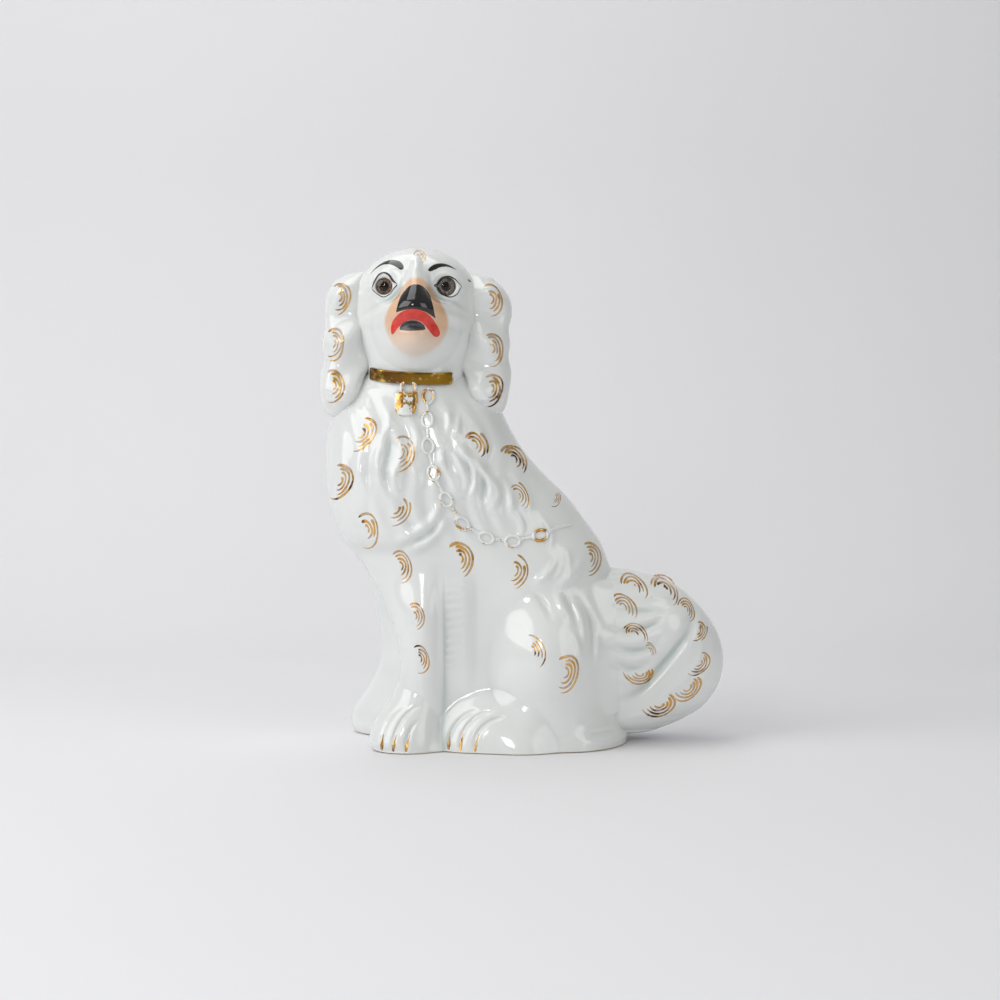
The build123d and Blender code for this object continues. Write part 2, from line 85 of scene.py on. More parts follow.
class Value:
    """A node socket with arithmetic: + - * / on it, from either side, add Math nodes."""

    def __init__(self, tree, socket):
        self.tree = tree
        self.socket = socket

    def math(self, operation, *inputs):
        return make(self.tree, "ShaderNodeMath", {"operation": operation}, dict(enumerate(inputs)))

    def __add__(self, other):
        return self.math("ADD", self, other)

    def __sub__(self, other):
        return self.math("SUBTRACT", self, other)

    def __mul__(self, other):
        return self.math("MULTIPLY", self, other)

    def __truediv__(self, other):
        return self.math("DIVIDE", self, other)

    def __rsub__(self, other):
        return self.math("SUBTRACT", other, self)

    def __rtruediv__(self, other):
        return self.math("DIVIDE", other, self)

    __radd__ = __add__
    __rmul__ = __mul__

    def root(self):
        """The square root."""
        return self.math("SQRT", self)

    def ramp(self, low, high, start=0.0, end=1.0):
        """start below low, end above high, and a smooth run between."""
        settings = {"interpolation_type": "SMOOTHSTEP"}
        sockets = {"Value": self, "From Min": low, "From Max": high, "To Min": start, "To Max": end}
        return make(self.tree, "ShaderNodeMapRange", settings, sockets)


def make(tree, kind, settings=None, sockets=None, output=0):
    """Adds a node: its settings first, then its sockets, each a number, a colour or a Value."""
    node = tree.nodes.new(kind)
    for name, value in (settings or {}).items():
        setattr(node, name, value)
    for name, value in (sockets or {}).items():
        if isinstance(value, Value):
            tree.links.new(value.socket, node.inputs[name])
        else:
            node.inputs[name].default_value = value
    return Value(tree, node.outputs[output]) if len(node.outputs) else None


def colour(hexadecimal):
    """A colour written as on screen, in the renderer's linear values."""
    shares = [int(hexadecimal[i : i + 2], 16) / 255 for i in (1, 3, 5)]
    return tuple(s / 12.92 if s < 0.04045 else ((s + 0.055) / 1.055) ** 2.4 for s in shares) + (1.0,)


def mix(tree, share, first, second):
    """first where share is 0 and second where it is 1."""
    return make(tree, "ShaderNodeMix", {"data_type": "RGBA"}, {0: share, 6: first, 7: second}, output=2)


def noise(tree, place, scale, detail):
    """A cloudy pattern between 0 and 1."""
    return make(tree, "ShaderNodeTexNoise", {}, {"Vector": place, "Scale": scale, "Detail": detail})


def uneven(tree, height, strength, distance):
    """A normal that follows a height, for a surface that isn't quite smooth."""
    sockets = {"Strength": strength, "Distance": distance, "Height": height}
    return make(tree, "ShaderNodeBump", {}, sockets)


def material(name):
    """An empty material, its node tree and the Object coordinates that its patterns read."""
    made = bpy.data.materials.new(name)
    made.use_nodes = True
    made.node_tree.nodes.clear()
    return made, made.node_tree, make(made.node_tree, "ShaderNodeTexCoord", output=3)


def coat(tree, sockets, kind="ShaderNodeBsdfPrincipled"):
    """Ends a material: a shader with these sockets goes to its output."""
    make(tree, "ShaderNodeOutputMaterial", {}, {"Surface": make(tree, kind, {}, sockets)})


def glaze(name, wash=None):
    """The glaze as a material. wash paints over its tint."""
    made, tree, place = material(name)
    pool = make(tree, "ShaderNodeAttribute", {"attribute_name": "pool"}, output=2)
    cloud = noise(tree, place, 22.0, 3.0)
    pooled = (pool * 0.7 + cloud * 0.3 - 0.1).ramp(0.0, 1.0)
    tint = mix(tree, pooled, colour(GLAZE_WHITE), colour(POOL_TINT))
    speck = make(tree, "ShaderNodeTexVoronoi", {}, {"Vector": place, "Scale": 70.0, "Randomness": 1.0})
    dot = speck.ramp(0.02, 0.035, 1.0, 0.0) * noise(tree, place, 35.0, 0.0).ramp(0.68, 0.70)
    tint = mix(tree, dot * 0.8, tint, colour(SPECK_BROWN))
    if wash:
        tint = wash(tree, place, cloud, tint)
    ripple = noise(tree, place, 90.0, 2.0) * 0.4 + noise(tree, place, 38.0, 1.0)
    sockets = {"Base Color": tint, "Normal": uneven(tree, ripple, 0.14, 0.003)}
    coat(tree, sockets | {"Roughness": 0.09, "IOR": 1.5, "Coat Weight": 0.4, "Coat Roughness": 0.03})
    return made


white_glaze = glaze("white_glaze")

# Body: two pressed halves of earthenware stuck together with slip, with leg, foot and haunch in relief.
# Each is a depth over the parting plane, so that it would draw from its mould. Outlines are (z, value),
# depths are (x, z, depth), and a lock of fur is (height, width, path) with its path in (x, z).
GLAZED = "glazed_earthenware"
MM = 0.001
FOOT_Z = 0.5
NECK_Z = 238
BODY_ROWS = np.linspace(FOOT_Z, NECK_Z, 480)
BODY_SPLIT = 240
BODY_COLUMNS = 400
BACK_EDGE = [
    (0, 88), (6, 89), (13, 86), (28, 85), (52, 87), (80, 86), (100, 82), (112, 77.5), (130, 70),
    (142, 61.5), (160, 47.5), (174, 33), (190, 19.5), (205, 11), (217, 5), (228, -4), (238, -15),
]
CHEST_EDGE = [
    (130, -95.5), (139, -100), (150, -103.3), (167, -105.7), (185, -106.2), (203, -104.5), (215, -100),
    (227, -91), (238, -80),
]
NEAR_EDGE = [
    (0, -74), (4, -76), (10, -75.5), (20, -71.5), (30, -63.5), (40, -58.5), (52, -57), (65, -58.5),
    (80, -62.5), (90, -67), (100, -72.5), (110, -79), (120, -86.5),
] + CHEST_EDGE
FAR_EDGE = [
    (0, -91), (5, -93), (14, -92), (28, -83), (40, -76), (52, -73.5), (80, -75.5), (103, -79),
    (112, -82), (118, -85.5), (124, -90),
] + CHEST_EDGE
FRONT_OUT = [
    (0, 38), (10, 38), (30, 36), (52, 34), (65, 31), (80, 25), (90, 19), (100, 13), (110, 7.5), (120, 3),
    (132, 0), (142, 0), (160, 0), (238, 0),
]
FRONT_ROUND = ([0, 30, 45, 65, 80, 100, 120, 150, 200, 238], [22, 19, 15, 16, 20, 30, 40, 44, 42, 32])
BACK_ROUND = ([0, 30, 80, 130, 200, 238], [30, 34, 42, 42, 36, 32])
SKIN_DEPTHS = [
    (-47, 238, 33), (-72, 227, 30), (-22, 228, 28), (-88, 195, 42), (-60, 195, 43), (-88, 162, 45),
    (-60, 162, 47), (-75, 136, 44), (-28, 195, 40), (-26, 165, 45), (0, 188, 36), (0, 160, 42),
    (-12, 132, 43), (-10, 100, 40), (-10, 70, 38), (-14, 42, 40), (-35, 100, 40), (-35, 60, 37),
    (25, 132, 42), (48, 132, 38), (25, 108, 44), (36, 66, 46), (62, 84, 41), (72, 50, 41), (78, 104, 34),
    (0, 16, 46), (40, 16, 48), (75, 12, 44), (20, 160, 38), (40, 148, 34), (-48, 16, 44),
]
SKIN_SPREAD = 17.0
NEAR_LEG_X, NEAR_PAW_X = -43, -54
FAR_LEG_X, FAR_PAW_X = -60, -70
LEG_HALF = 14
LEG_SEAT = 34
LEG_CROWN = 14.5
WEB_RISE = 2.6
RIB_PITCH = 5.3
RIB_RISE = 0.286
WAVE_PITCH = 12.5
WAVE_RISE = 0.5
PAW = ((26, 43), 11, 1.35)
HIND_FOOT = ((2, -5), (42, 44), 12.5, 1.7, 3)
HEEL = ((40, -8), (50, 42), 8, 1.7)
HAUNCH = ((37, 55), (40, 47), 13, 1.7)
CHEST_LOCKS = [
    (1.5, 2.6, [(-64.9, 214.5), (-63.6, 206.6), (-66.2, 197), (-68.9, 184.7)]),
    (1.8, 2.8, [(-68.8, 190.8), (-71.4, 183), (-69.7, 172.4), (-64.9, 156.7)]),
    (1.8, 2.8, [(-60, 198.7), (-55.6, 184.7), (-60, 174.2), (-55.6, 162)]),
    (-1.2, 2.0, [(-64, 200), (-63.5, 186), (-65.5, 176), (-60, 160)]),
    (1.6, 3.0, [(-80, 188), (-83, 176), (-79, 164), (-83, 150)]),
    (1.3, 2.6, [(-93, 196), (-95, 184), (-92, 174), (-95, 160)]),
    (1.5, 2.8, [(-49, 206), (-46, 194), (-49, 182), (-44, 168)]),
    (2.6, 3.4, [(-31.1, 158), (-35.5, 145.3), (-44.2, 138.3), (-58, 131)]),
    (2.2, 3.0, [(-27, 147), (-33.7, 135.7), (-42.5, 128.7), (-53, 123.5)]),
    (-1.4, 2.2, [(-29, 152), (-34.5, 140.5), (-43.5, 133.5), (-55, 127)]),
    (1.6, 2.0, [(-26.5, 213), (-26, 206.6), (-27.3, 199.6)]),
    (1.4, 2.0, [(-19.9, 211), (-20, 204.8), (-21.6, 198)]),
]
SHOULDER_LOCKS = [
    (2.2, 2.6, [(-24.2, 187.3), (-18.9, 180.3), (-15, 170.6), (-18.1, 159.2)]),
    (-1.6, 1.8, [(-22, 188), (-15.8, 180.6), (-12.4, 170.6), (-15.5, 159.6)]),
    (2.2, 2.4, [(-19.8, 188.2), (-12.8, 181.1), (-9.7, 170.6), (-12.8, 160.1)]),
    (2.6, 3.0, [(-18.1, 190), (-7.5, 178.5), (-0.9, 167.1), (-1.4, 156.6)]),
    (-1.8, 2.0, [(-12, 181.5), (-5, 172), (-3.5, 163), (-5, 156)]),
    (2.4, 2.8, [(-7.5, 179), (3, 167.1), (4.8, 159.2), (-0.1, 152)]),
    (2.0, 2.6, [(7.4, 171), (12.7, 159.2), (11.8, 149)]),
    (1.8, 2.6, [(16, 172), (23, 160), (24, 150)]),
    (1.8, 2.4, [(-27.7, 190.8), (-29.9, 182.9), (-26, 172.4), (-19.8, 162.7)]),
    (1.4, 2.4, [(-8, 204), (-4, 194), (-3, 186)]),
]
HAUNCH_LOCKS = [
    (2.2, 3.2, [(58, 119), (51.6, 110.3), (43, 102.5)]),
    (1.8, 2.8, [(40.2, 119), (35, 110.3), (27.5, 106)]),
    (1.5, 2.6, [(47.5, 127), (49.6, 116.5), (46.5, 108)]),
    (-1.6, 2.2, [(28, 98), (33.9, 91.1), (38, 83)]),
    (1.8, 2.8, [(42, 100), (45.2, 91.1), (51.4, 83)]),
    (-1.5, 2.0, [(46.5, 97), (51, 89), (55, 78)]),
    (2.0, 2.8, [(51.5, 94), (57.7, 80.5), (59.8, 65)]),
    (2.0, 3.0, [(60, 98), (66, 84.3), (72.4, 77)]),
    (-1.6, 2.2, [(61, 90), (64, 76), (65.5, 60)]),
    (1.8, 2.4, [(66.2, 71), (67.4, 63.5), (66.7, 55)]),
    (1.6, 2.2, [(51.5, 75), (55.1, 66), (55.6, 58)]),
    (1.2, 2.2, [(14, 150), (20, 141), (17, 132)]),
    (1.2, 2.4, [(32, 146), (38, 136), (36, 126)]),
]
TOE_PATHS = [
    [(-68, 1), (-67, 12), (-62, 22), (-54, 29)],
    [(-60.5, 1), (-59, 13), (-53, 23), (-45, 28)],
    [(-52.5, 1), (-51, 12), (-46, 19)],
    [(-26, 1), (-25, 11), (-19, 20), (-9, 25)],
    [(-19, 1), (-17, 12), (-10, 21), (1, 25)],
    [(-9.5, 1), (-8, 12), (-1, 19), (8, 22)],
]
TOE_FURROWS = [(-1.7, 1.3, path) for path in TOE_PATHS]


def mesh_piece(name, grids, look, loop=False, normals=None, pool=None):
    """One object from grids of points (rows, columns, 3), with quads between neighbours. loop joins the end
    of each row to its start. pool says for each point how deep the glaze lies there."""
    corners = np.concatenate([grid.reshape(-1, 3) for grid in grids])
    faces = []
    start = 0
    for grid in grids:
        rows, columns = grid.shape[:2]
        index = start + np.arange(rows * columns).reshape(rows, columns)
        if loop:
            index = np.concatenate([index, index[:, :1]], axis=1)
        quads = np.stack([index[:-1, :-1], index[:-1, 1:], index[1:, 1:], index[1:, :-1]], axis=-1)
        faces.append(quads.reshape(-1, 4))
        start += rows * columns
    mesh = bpy.data.meshes.new(name)
    mesh.from_pydata(corners * MM, [], np.concatenate(faces).tolist())
    mesh.shade_smooth()
    if pool is not None:
        layer = mesh.attributes.new("pool", "FLOAT", "POINT")
        layer.data.foreach_set("value", np.asarray(pool, dtype=np.float32).ravel())
    if normals is not None:
        mesh.normals_split_custom_set_from_vertices(normals.reshape(-1, 3))
    piece = bpy.data.objects.new(name, mesh)
    scene.collection.objects.link(piece)
    mesh.materials.append(look)
    return piece


def set_on(piece, slot, *nodes):
    """Sets a piece on the figure's one body, in place of the nodes that it dresses, if any."""
    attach(piece, "root")
    if nodes:
        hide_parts(*nodes)


def points(x, y, z):
    """A grid of points from three arrays that fit one another's shape."""
    return np.stack(np.broadcast_arrays(x, y, z), axis=-1)


def grid_normals(grid):
    """Unit normals of a grid of points: the cross product of its run across the rows and along them."""
    normal = np.cross(np.gradient(grid, axis=1), np.gradient(grid, axis=0))
    return normal / np.maximum(np.linalg.norm(normal, axis=-1, keepdims=True), 1e-9)


def through(at, knots, values):
    """A smooth curve through values at rising knots: cubic pieces, parallel to the neighbours' chord."""
    knots = np.asarray(knots, float)
    values = np.asarray(values, float)
    slopes = np.gradient(values, knots)
    i = np.clip(np.searchsorted(knots, at) - 1, 0, len(knots) - 2)
    width = knots[i + 1] - knots[i]
    t = np.clip((at - knots[i]) / width, 0, 1)
    hold = (2 * t**3 - 3 * t**2 + 1) * values[i] + (3 * t**2 - 2 * t**3) * values[i + 1]
    return hold + width * ((t**3 - 2 * t**2 + t) * slopes[i] + (t**3 - t**2) * slopes[i + 1])


def outline(edge, z):
    """What an outline of (z, value) knots gives at heights z."""
    return through(z, *zip(*edge))


def step(value, low, high):
    """0 below low, 1 above high and a smooth run between."""
    t = np.clip((value - low) / (high - low), 0, 1)
    return t * t * (3 - 2 * t)


def band(value, rise, fall):
    """1 between two runs: a step up over rise, less a step over fall."""
    return step(value, *rise) * (1 - step(value, *fall))


def dome(share):
    """A quarter circle: 0 at share 0, upright there, and level at 1."""
    return np.sqrt(1 - (1 - np.clip(share, 0, 1)) ** 2)


def swell(first, second, blend):
    """The larger of two depths, with a fillet where they run together."""
    near = np.clip(1 - np.abs(first - second) / blend, 0, 1)
    return np.maximum(first, second) + near**2 * blend / 4


def cushion(x, z, middle, half, rise, power, full=2):
    """Height of a soft oval cushion: rise * (1 - q^full)^power, q the share of the way out."""
    q = np.hypot((x - middle[0]) / half[0], (z - middle[1]) / half[1])
    return rise * np.clip(1 - q**full, 0, 1) ** power


def quilt(x, z, spots, spread):
    """A depth that runs smoothly through spots of (x, z, depth): their mean, weighted by closeness."""
    total = 0
    weight = 1e-12
    for spot_x, spot_z, depth in spots:
        near = np.exp(-((x - spot_x) ** 2 + (z - spot_z) ** 2) / (2 * spread**2))
        total = total + near * depth
        weight = weight + near
    return total / weight


def curve(path, count):
    """Points along the polynomial that passes through path at even steps, as x and z."""
    at = np.linspace(0, 1, len(path))
    t = np.linspace(0, 1, count)
    return [np.polyval(np.polyfit(at, along, len(path) - 1), t) for along in np.array(path, float).T]


def relief(x, z, locks):
    """Height of modelled fur: each lock is a ridge along its path or, where its height is below 0, a furrow,
    height * exp(-(gap / width)^2), which thins to nothing at both ends."""
    height = np.zeros_like(x)
    for rise, width, path in locks:
        run_x, run_z = curve(path, 25)
        reach = 3 * width
        close = (x > run_x.min() - reach) & (x < run_x.max() + reach)
        close &= (z > run_z.min() - reach) & (z < run_z.max() + reach)
        if not close.any():
            continue
        step_x, step_z = np.diff(run_x), np.diff(run_z)
        from_x, from_z = x[close][:, None] - run_x[:-1], z[close][:, None] - run_z[:-1]
        along = np.clip((from_x * step_x + from_z * step_z) / (step_x**2 + step_z**2), 0, 1)
        gap = np.hypot(from_x - along * step_x, from_z - along * step_z)
        nearest = gap.argmin(axis=1)[:, None]
        share = (nearest + np.take_along_axis(along, nearest, axis=1))[:, 0] / 24
        taper = np.sin(math.pi * (0.04 + 0.92 * share)) ** 0.7
        height[close] += rise * taper * np.exp(-((gap.min(axis=1) / width) ** 2))
    return height


def square_on(edge, z, reach=1):
    """The cosine of an outline's slant, which turns a distance along x into one square to the outline."""
    return 1 / np.hypot(1, (outline(edge, z + reach) - outline(edge, z - reach)) / (2 * reach))


def pressed_side(front_edge, leg_x, paw_x, locks, root):
    """Gives depth(x, z), the depth of a half over the parting plane: a quilt of depths with cushions for
    leg, paw, foot and haunch and the fur on top, rounded off towards the front and back edges. Its front
    ends as far out as FRONT_OUT says, and its back runs out into root, the depth of the tail there."""

    def depth(x, z):
        deep = quilt(x, z, SKIN_DEPTHS, SKIN_SPREAD)
        across = np.clip((x - leg_x) / LEG_HALF, 0, None)
        rounded = np.where(across < 1, np.sqrt(np.clip(1 - across**2, 0, 1)), 2 * (1 - across))
        shown = 1 - step(z, 84, 140)
        leg = (LEG_SEAT + LEG_CROWN * rounded) * shown + (deep - 9) * (1 - shown)
        deep = swell(deep, leg, 8)
        behind = x - leg_x
        web = band(behind, (9, 15), (25, 35)) * band(z, (30, 60), (96, 122))
        ribs = np.cos(2 * math.pi * z / RIB_PITCH) * RIB_RISE * band(z, (44, 56), (104, 114))
        deep = deep + web * (WEB_RISE + ribs * band(behind, (14, 17), (24, 28)))
        deep = deep + cushion(np.maximum(x, paw_x), z, (paw_x, -4), *PAW)
        deep = deep + cushion(x, z, *HIND_FOOT) + cushion(x, z, *HEEL) + cushion(x, z, *HAUNCH)
        waves = np.cos(2 * math.pi * (x + 4 * np.sin(z / 11.0) + 0.12 * z) / WAVE_PITCH)
        deep = deep + WAVE_RISE * waves * band(z, (122, 146), (212, 228)) * (1 - step(x, 0, 34))
        deep = deep + relief(x, z, locks)
        near = dome((x - outline(front_edge, z)) * square_on(front_edge, z) / np.interp(z, *FRONT_ROUND))
        far = dome((outline(BACK_EDGE, z) - x) * square_on(BACK_EDGE, z) / np.interp(z, *BACK_ROUND))
        skin = outline(FRONT_OUT, z) * (1 - near) + deep * far * near
        off_tail = (1 - step(x, 50, 60)) + step(z, 104, 112) + (1 - step(z, 8, 22))
        return swell(skin, root(x, z) - 0.4 - 60 * off_tail, 14)

    return depth


def crowded(count):
    """Shares from 0 to 1 that crowd towards both ends."""
    u = np.linspace(0, 1, count)
    return u - 0.86 * np.sin(2 * math.pi * u) / (2 * math.pi)


def over_plane(x, z, depth, side):
    """Points of a skin: rows at heights z, as far to a side of the parting plane as depth(x, z) says."""
    height = np.broadcast_to(z[:, None], x.shape)
    return points(x, side * depth(x, height), height)


def pressed_grid(depth, side, front_edge, z, columns):
    """Points of a half: rows at heights z, columns from the front edge to the back one, crowded at both."""
    left = outline(front_edge, z)[:, None]
    right = outline(BACK_EDGE, z)[:, None]
    return over_plane(left + (right - left) * crowded(columns), z, depth, side)


def pool_of(grid, side, reach=9):
    """How far each point lies in a hollow: the soft mean of the depths around it, less its own depth. It
    fades out towards the outline."""
    depth = side * grid[..., 1]
    mean = depth
    for axis in (0, 1, 0, 1):
        pad = [(reach + 1, reach) if a == axis else (0, 0) for a in (0, 1)]
        total = np.cumsum(np.pad(mean, pad, mode="edge"), axis=axis)
        ahead = np.take(total, np.arange(2 * reach + 1, total.shape[axis]), axis=axis)
        behind = np.take(total, np.arange(total.shape[axis] - 2 * reach - 1), axis=axis)
        mean = (ahead - behind) / (2 * reach + 1)
    share = np.linspace(0, 1, grid.shape[1])
    return np.clip((mean - depth) * 0.45, 0, 1) * band(share, (0.02, 0.16), (0.84, 0.98))


# The tail's form stands here because the body's skin runs out into its root.
TAIL_OFF = 3
TAIL_SPREAD = 13.0
TAIL_OUTER_ROUND = 26
TAIL_INNER_ROUND = 22
TAIL_OUTER = [
    (3.5, 91), (5, 101), (8, 111), (17, 131), (31, 145), (46, 150.5), (61, 150), (76, 143.8),
    (92, 130.5), (101, 119), (105.5, 109), (108.5, 99), (110.5, 90), (112, 76),
]
TAIL_INNER = [(3.5, 90), (5, 80), (10, 70), (25, 58), (50, 52), (80, 52), (98, 55), (107, 61), (112, 70)]
TAIL_FRONT = [
    (80, 95, 30), (100, 95, 30), (120, 85, 27), (85, 70, 37), (105, 68, 34), (128, 60, 25), (85, 45, 34),
    (110, 35, 27), (140, 50, 20), (125, 25, 22), (90, 15, 27), (100, 105, 18),
]
TAIL_BEHIND = [(90, 80, 36), (120, 60, 38), (90, 40, 37), (110, 20, 30), (140, 50, 26), (100, 100, 26)]
TAIL_LOCKS = [
    (-4.2, 3.4, [(131, 93), (124, 70), (110, 52), (97, 38), (82, 29)]),
    (-2.4, 2.2, [(72, 77), (86, 74), (99, 76), (110, 83)]),
    (-2.6, 2.4, [(72, 66), (87, 61.5), (99, 63), (108, 68)]),
    (-2.4, 2.2, [(76, 54), (89, 50), (100, 53)]),
    (-2.0, 2.2, [(80, 90), (96, 86), (114, 87)]),
    (1.8, 3.0, [(78, 82), (92, 80), (106, 84)]),
    (2.0, 3.0, [(76, 71), (90, 68), (104, 72)]),
    (2.0, 3.0, [(78, 60), (91, 56.5), (103, 60)]),
    (1.6, 3.0, [(80, 45), (92, 42), (100, 47)]),
    (1.5, 3.0, [(90, 98), (106, 95), (120, 94)]),
    (0.8, 2.0, [(142, 72), (141, 52), (130, 34), (112, 22)]),
    (0.7, 2.0, [(134, 70), (133, 54), (122, 40), (106, 30)]),
]


def tail_depth(x, z, spots, locks):
    """Depth of a face of the tail: a quilt of depths with locks on it, rounded off to its outline."""
    deep = quilt(x, z, spots, TAIL_SPREAD) + relief(x, z, locks)
    near = (outline(TAIL_OUTER, z) - x) * square_on(TAIL_OUTER, z, 0.5) / TAIL_OUTER_ROUND
    far = (x - outline(TAIL_INNER, z)) / TAIL_INNER_ROUND
    return deep * dome(near) * dome(far)


def tail_skin(x, z):
    """The front of the tail as a depth over the parting plane."""
    return tail_depth(x, z, TAIL_FRONT, TAIL_LOCKS) - TAIL_OFF


def tail_back(x, z):
    """The back of the tail as a depth over the parting plane."""
    return tail_depth(x, z, TAIL_BEHIND, []) + TAIL_OFF


near_locks = CHEST_LOCKS + SHOULDER_LOCKS + HAUNCH_LOCKS + TOE_FURROWS
near_depth = pressed_side(NEAR_EDGE, NEAR_LEG_X, NEAR_PAW_X, near_locks, tail_skin)
far_locks = CHEST_LOCKS[:7] + SHOULDER_LOCKS + HAUNCH_LOCKS
far_depth = pressed_side(FAR_EDGE, FAR_LEG_X, FAR_PAW_X, far_locks, tail_back)
for name, side, edge, depth in (("left", -1, NEAR_EDGE, near_depth), ("right", 1, FAR_EDGE, far_depth)):
    grid = pressed_grid(depth, side, edge, BODY_ROWS, BODY_COLUMNS)
    if side > 0:
        grid = grid[:, ::-1]
    normals = grid_normals(grid)
    pool = pool_of(grid, side)
    pool = pool * (1 - step(grid[..., 0], 60, 76) * (1 - step(grid[..., 2], 106, 118)))
    for part, rows in (("lower", slice(0, BODY_SPLIT + 1)), ("upper", slice(BODY_SPLIT, None))):
        skin = [grid[rows]]
        piece = mesh_piece(f"{name}_{part}_body", skin, white_glaze, normals=normals[rows], pool=pool[rows])
        set_on(piece, GLAZED, f"body_{name}_half", f"{name}_foreleg", f"{name}_hind_foot")

# Breast: the front of the two halves, glazed clay from the near leg's edge round to the far one's.
# Below it sinks into the hollow between the forelegs.
HOLLOW_DEPTH = 15
LEGS_APART = 33
z = BODY_ROWS[:290]
s = np.linspace(0, 1, 70)
near_x = outline(NEAR_EDGE, z)[:, None]
far_x = outline(FAR_EDGE, z)[:, None]
out = outline(FRONT_OUT, z)[:, None]
sunk = HOLLOW_DEPTH * np.clip(out / LEGS_APART, 0, 1) * np.sin(math.pi * s) ** 2
grid = points(near_x + (far_x - near_x) * s + sunk, out * (2 * s - 1), z[:, None])[:, ::-1]
breast_row = grid[0]
breast = mesh_piece("breast", [grid], white_glaze, pool=np.zeros(grid.shape[:2]))
set_on(breast, GLAZED, "body_left_half", "body_right_half")

# Foot: the slab that closes the figure from below, bare clay with a round vent for the kiln.
# It is stuck into the skin's lower edge and runs in from there to the vent.
VENT = (24.0, 0.0)
VENT_RADIUS = 4.0
SLAB_THICKNESS = 6.0
CLAY = ("#E2D6C2", "#BFAE96")
near_row = pressed_grid(near_depth, -1, NEAR_EDGE, BODY_ROWS[:1], 200)[0]
far_row = pressed_grid(far_depth, 1, FAR_EDGE, BODY_ROWS[:1], 200)[0]
rim = np.concatenate([near_row, far_row[::-1], breast_row])
angle = np.arctan2(rim[:, 1] - VENT[1], rim[:, 0] - VENT[0])
hole_x = VENT[0] + VENT_RADIUS * np.cos(angle)
hole_y = VENT[1] + VENT_RADIUS * np.sin(angle)
hole = points(hole_x, hole_y, 0)
share = np.concatenate([[0, 0.008], np.linspace(0.03, 1, 12)])[:, None, None]
grid = rim + (hole - rim) * share
grid[..., 2] = np.where(share[..., 0] > 0, 0.0, FOOT_Z)
grid = np.concatenate([grid, grid[-1:] + np.array([0, 0, SLAB_THICKNESS])])
bare_clay, tree, place = material("bare_clay")
stain = noise(tree, place, 25.0, 3.0).ramp(0.35, 0.7)
grit = uneven(tree, noise(tree, place, 400.0, 4.0), 0.3, 0.0004)
coat(tree, {"Base Color": mix(tree, stain, *map(colour, CLAY)), "Roughness": 0.8, "Normal": grit})
set_on(mesh_piece("foot", [grid[:, ::-1]], bare_clay, loop=True), GLAZED, "base_slab")


def dress(node, look):
    """Gives a node of the frame a material."""
    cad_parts[node].data.materials.clear()
    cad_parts[node].data.materials.append(look)


for node in ("body_seam_strips", "head_seam_strip", "left_eye_bedding", "right_eye_bedding"):
    dress(node, bare_clay)

# Head: the face and the back of the head, pressed apart, stuck together on the parting plane and glazed.
# The muzzle stands out below a wedge-shaped nose and has a tan wash brushed over it. The brows swell over
# sockets for the glass eyes.
HEAD_X = -47.5
HEAD_LOW = 234
HEAD_TOP = 318.0
HEAD_MIDDLE = 283.0
HEAD_HALF = 40
JAW = ([HEAD_LOW, 244, 254, 266, 276, 283], [32.5, 33.5, 36.5, 39, 40, 40])
FACE_DEPTH = ([HEAD_LOW, 246, 256, 270, 285, 300, 318], [40.5, 39.5, 38, 37, 38, 39, 40])
NAPE_DEPTH = 44.0
MUZZLE = ((-46.7, 265.5), (29, 28), 16.5, 1.35)
CHIN = ((-46.5, 255), (16, 10), 2.5, 1.5)
NOSE_Z = [240, 252, 260, 266, 270, 274, 279, 284, 290, 296, 303, 310, 314, 318]
NOSE_RIDGE = (NOSE_Z, [-10, 10, 30, 46, 53, 57.5, 58.5, 55.5, 50, 43.5, 36, 20, 2, -25])
NOSE_WIDTH = ([262, 270, 280, 292, 303], [15, 13.5, 10.5, 6.5, 6])
EYE_TURN = math.radians(8)
EYE_OPENINGS = {"left": 6.0, "right": 5.3}
SOCKET_DEPTH = 5.0
LID_HALF = (8.4, 7.6)
WASH_MIDDLE = (-46.2, 271.5)
WASH_HALF = (21.0, 25.5)
WASH_PALE = "#E2D3C5"
WASH_TAN = "#E6B68E"
WASH_PAINTED_SHADE = "#C69A66"
FACE_LOCKS = [
    (-2.0, 1.8, [(-57, 263.5), (-48.5, 266.5), (-40, 263.5)]),
    (1.2, 2.0, [(-47.5, 312), (-46.5, 306), (-48, 300)]),
    (-0.8, 1.6, [(-51.5, 309), (-51, 303), (-52.5, 298)]),
    (-0.8, 1.6, [(-43, 309), (-42.5, 303), (-41.5, 298)]),
    (1.6, 5.0, [(-78, 298), (-68, 305.5), (-56, 302)]),
    (1.6, 5.0, [(-39, 302), (-28, 304.5), (-18, 298)]),
    (0.9, 3.0, [(-72, 280), (-74, 268), (-70, 254)]),
    (0.9, 3.0, [(-22, 280), (-20, 268), (-24, 254)]),
]
eyes = {}
for name, side in (("left", 1), ("right", -1)):
    low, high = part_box(f"{name}_eye_glass")
    middle = (np.array(low) + np.array(high)) / 2 / MM
    outward = np.array([math.sin(EYE_TURN) * side, -math.cos(EYE_TURN), 0])
    eyes[name] = (middle + outward * 0.9, outward)


def head_half_width(z):
    """Half the head's width: straight at the neck, full at the cheeks and an ellipse over the crown."""
    crown = np.sqrt(np.clip(1 - ((z - HEAD_MIDDLE) / (HEAD_TOP - HEAD_MIDDLE)) ** 2, 0, 1))
    return np.where(z > HEAD_MIDDLE, HEAD_HALF * crown, through(z, *JAW))


def head_depth(x, z, half_depth):
    """Depth of the plain head: an oval round its upright axis, rounded off to the outline."""
    half = np.maximum(head_half_width(z), 0.01)
    across = np.clip(1 - ((x - HEAD_X) / half) ** 2, 0, 1)
    return half_depth * np.sqrt(across) * half / HEAD_HALF


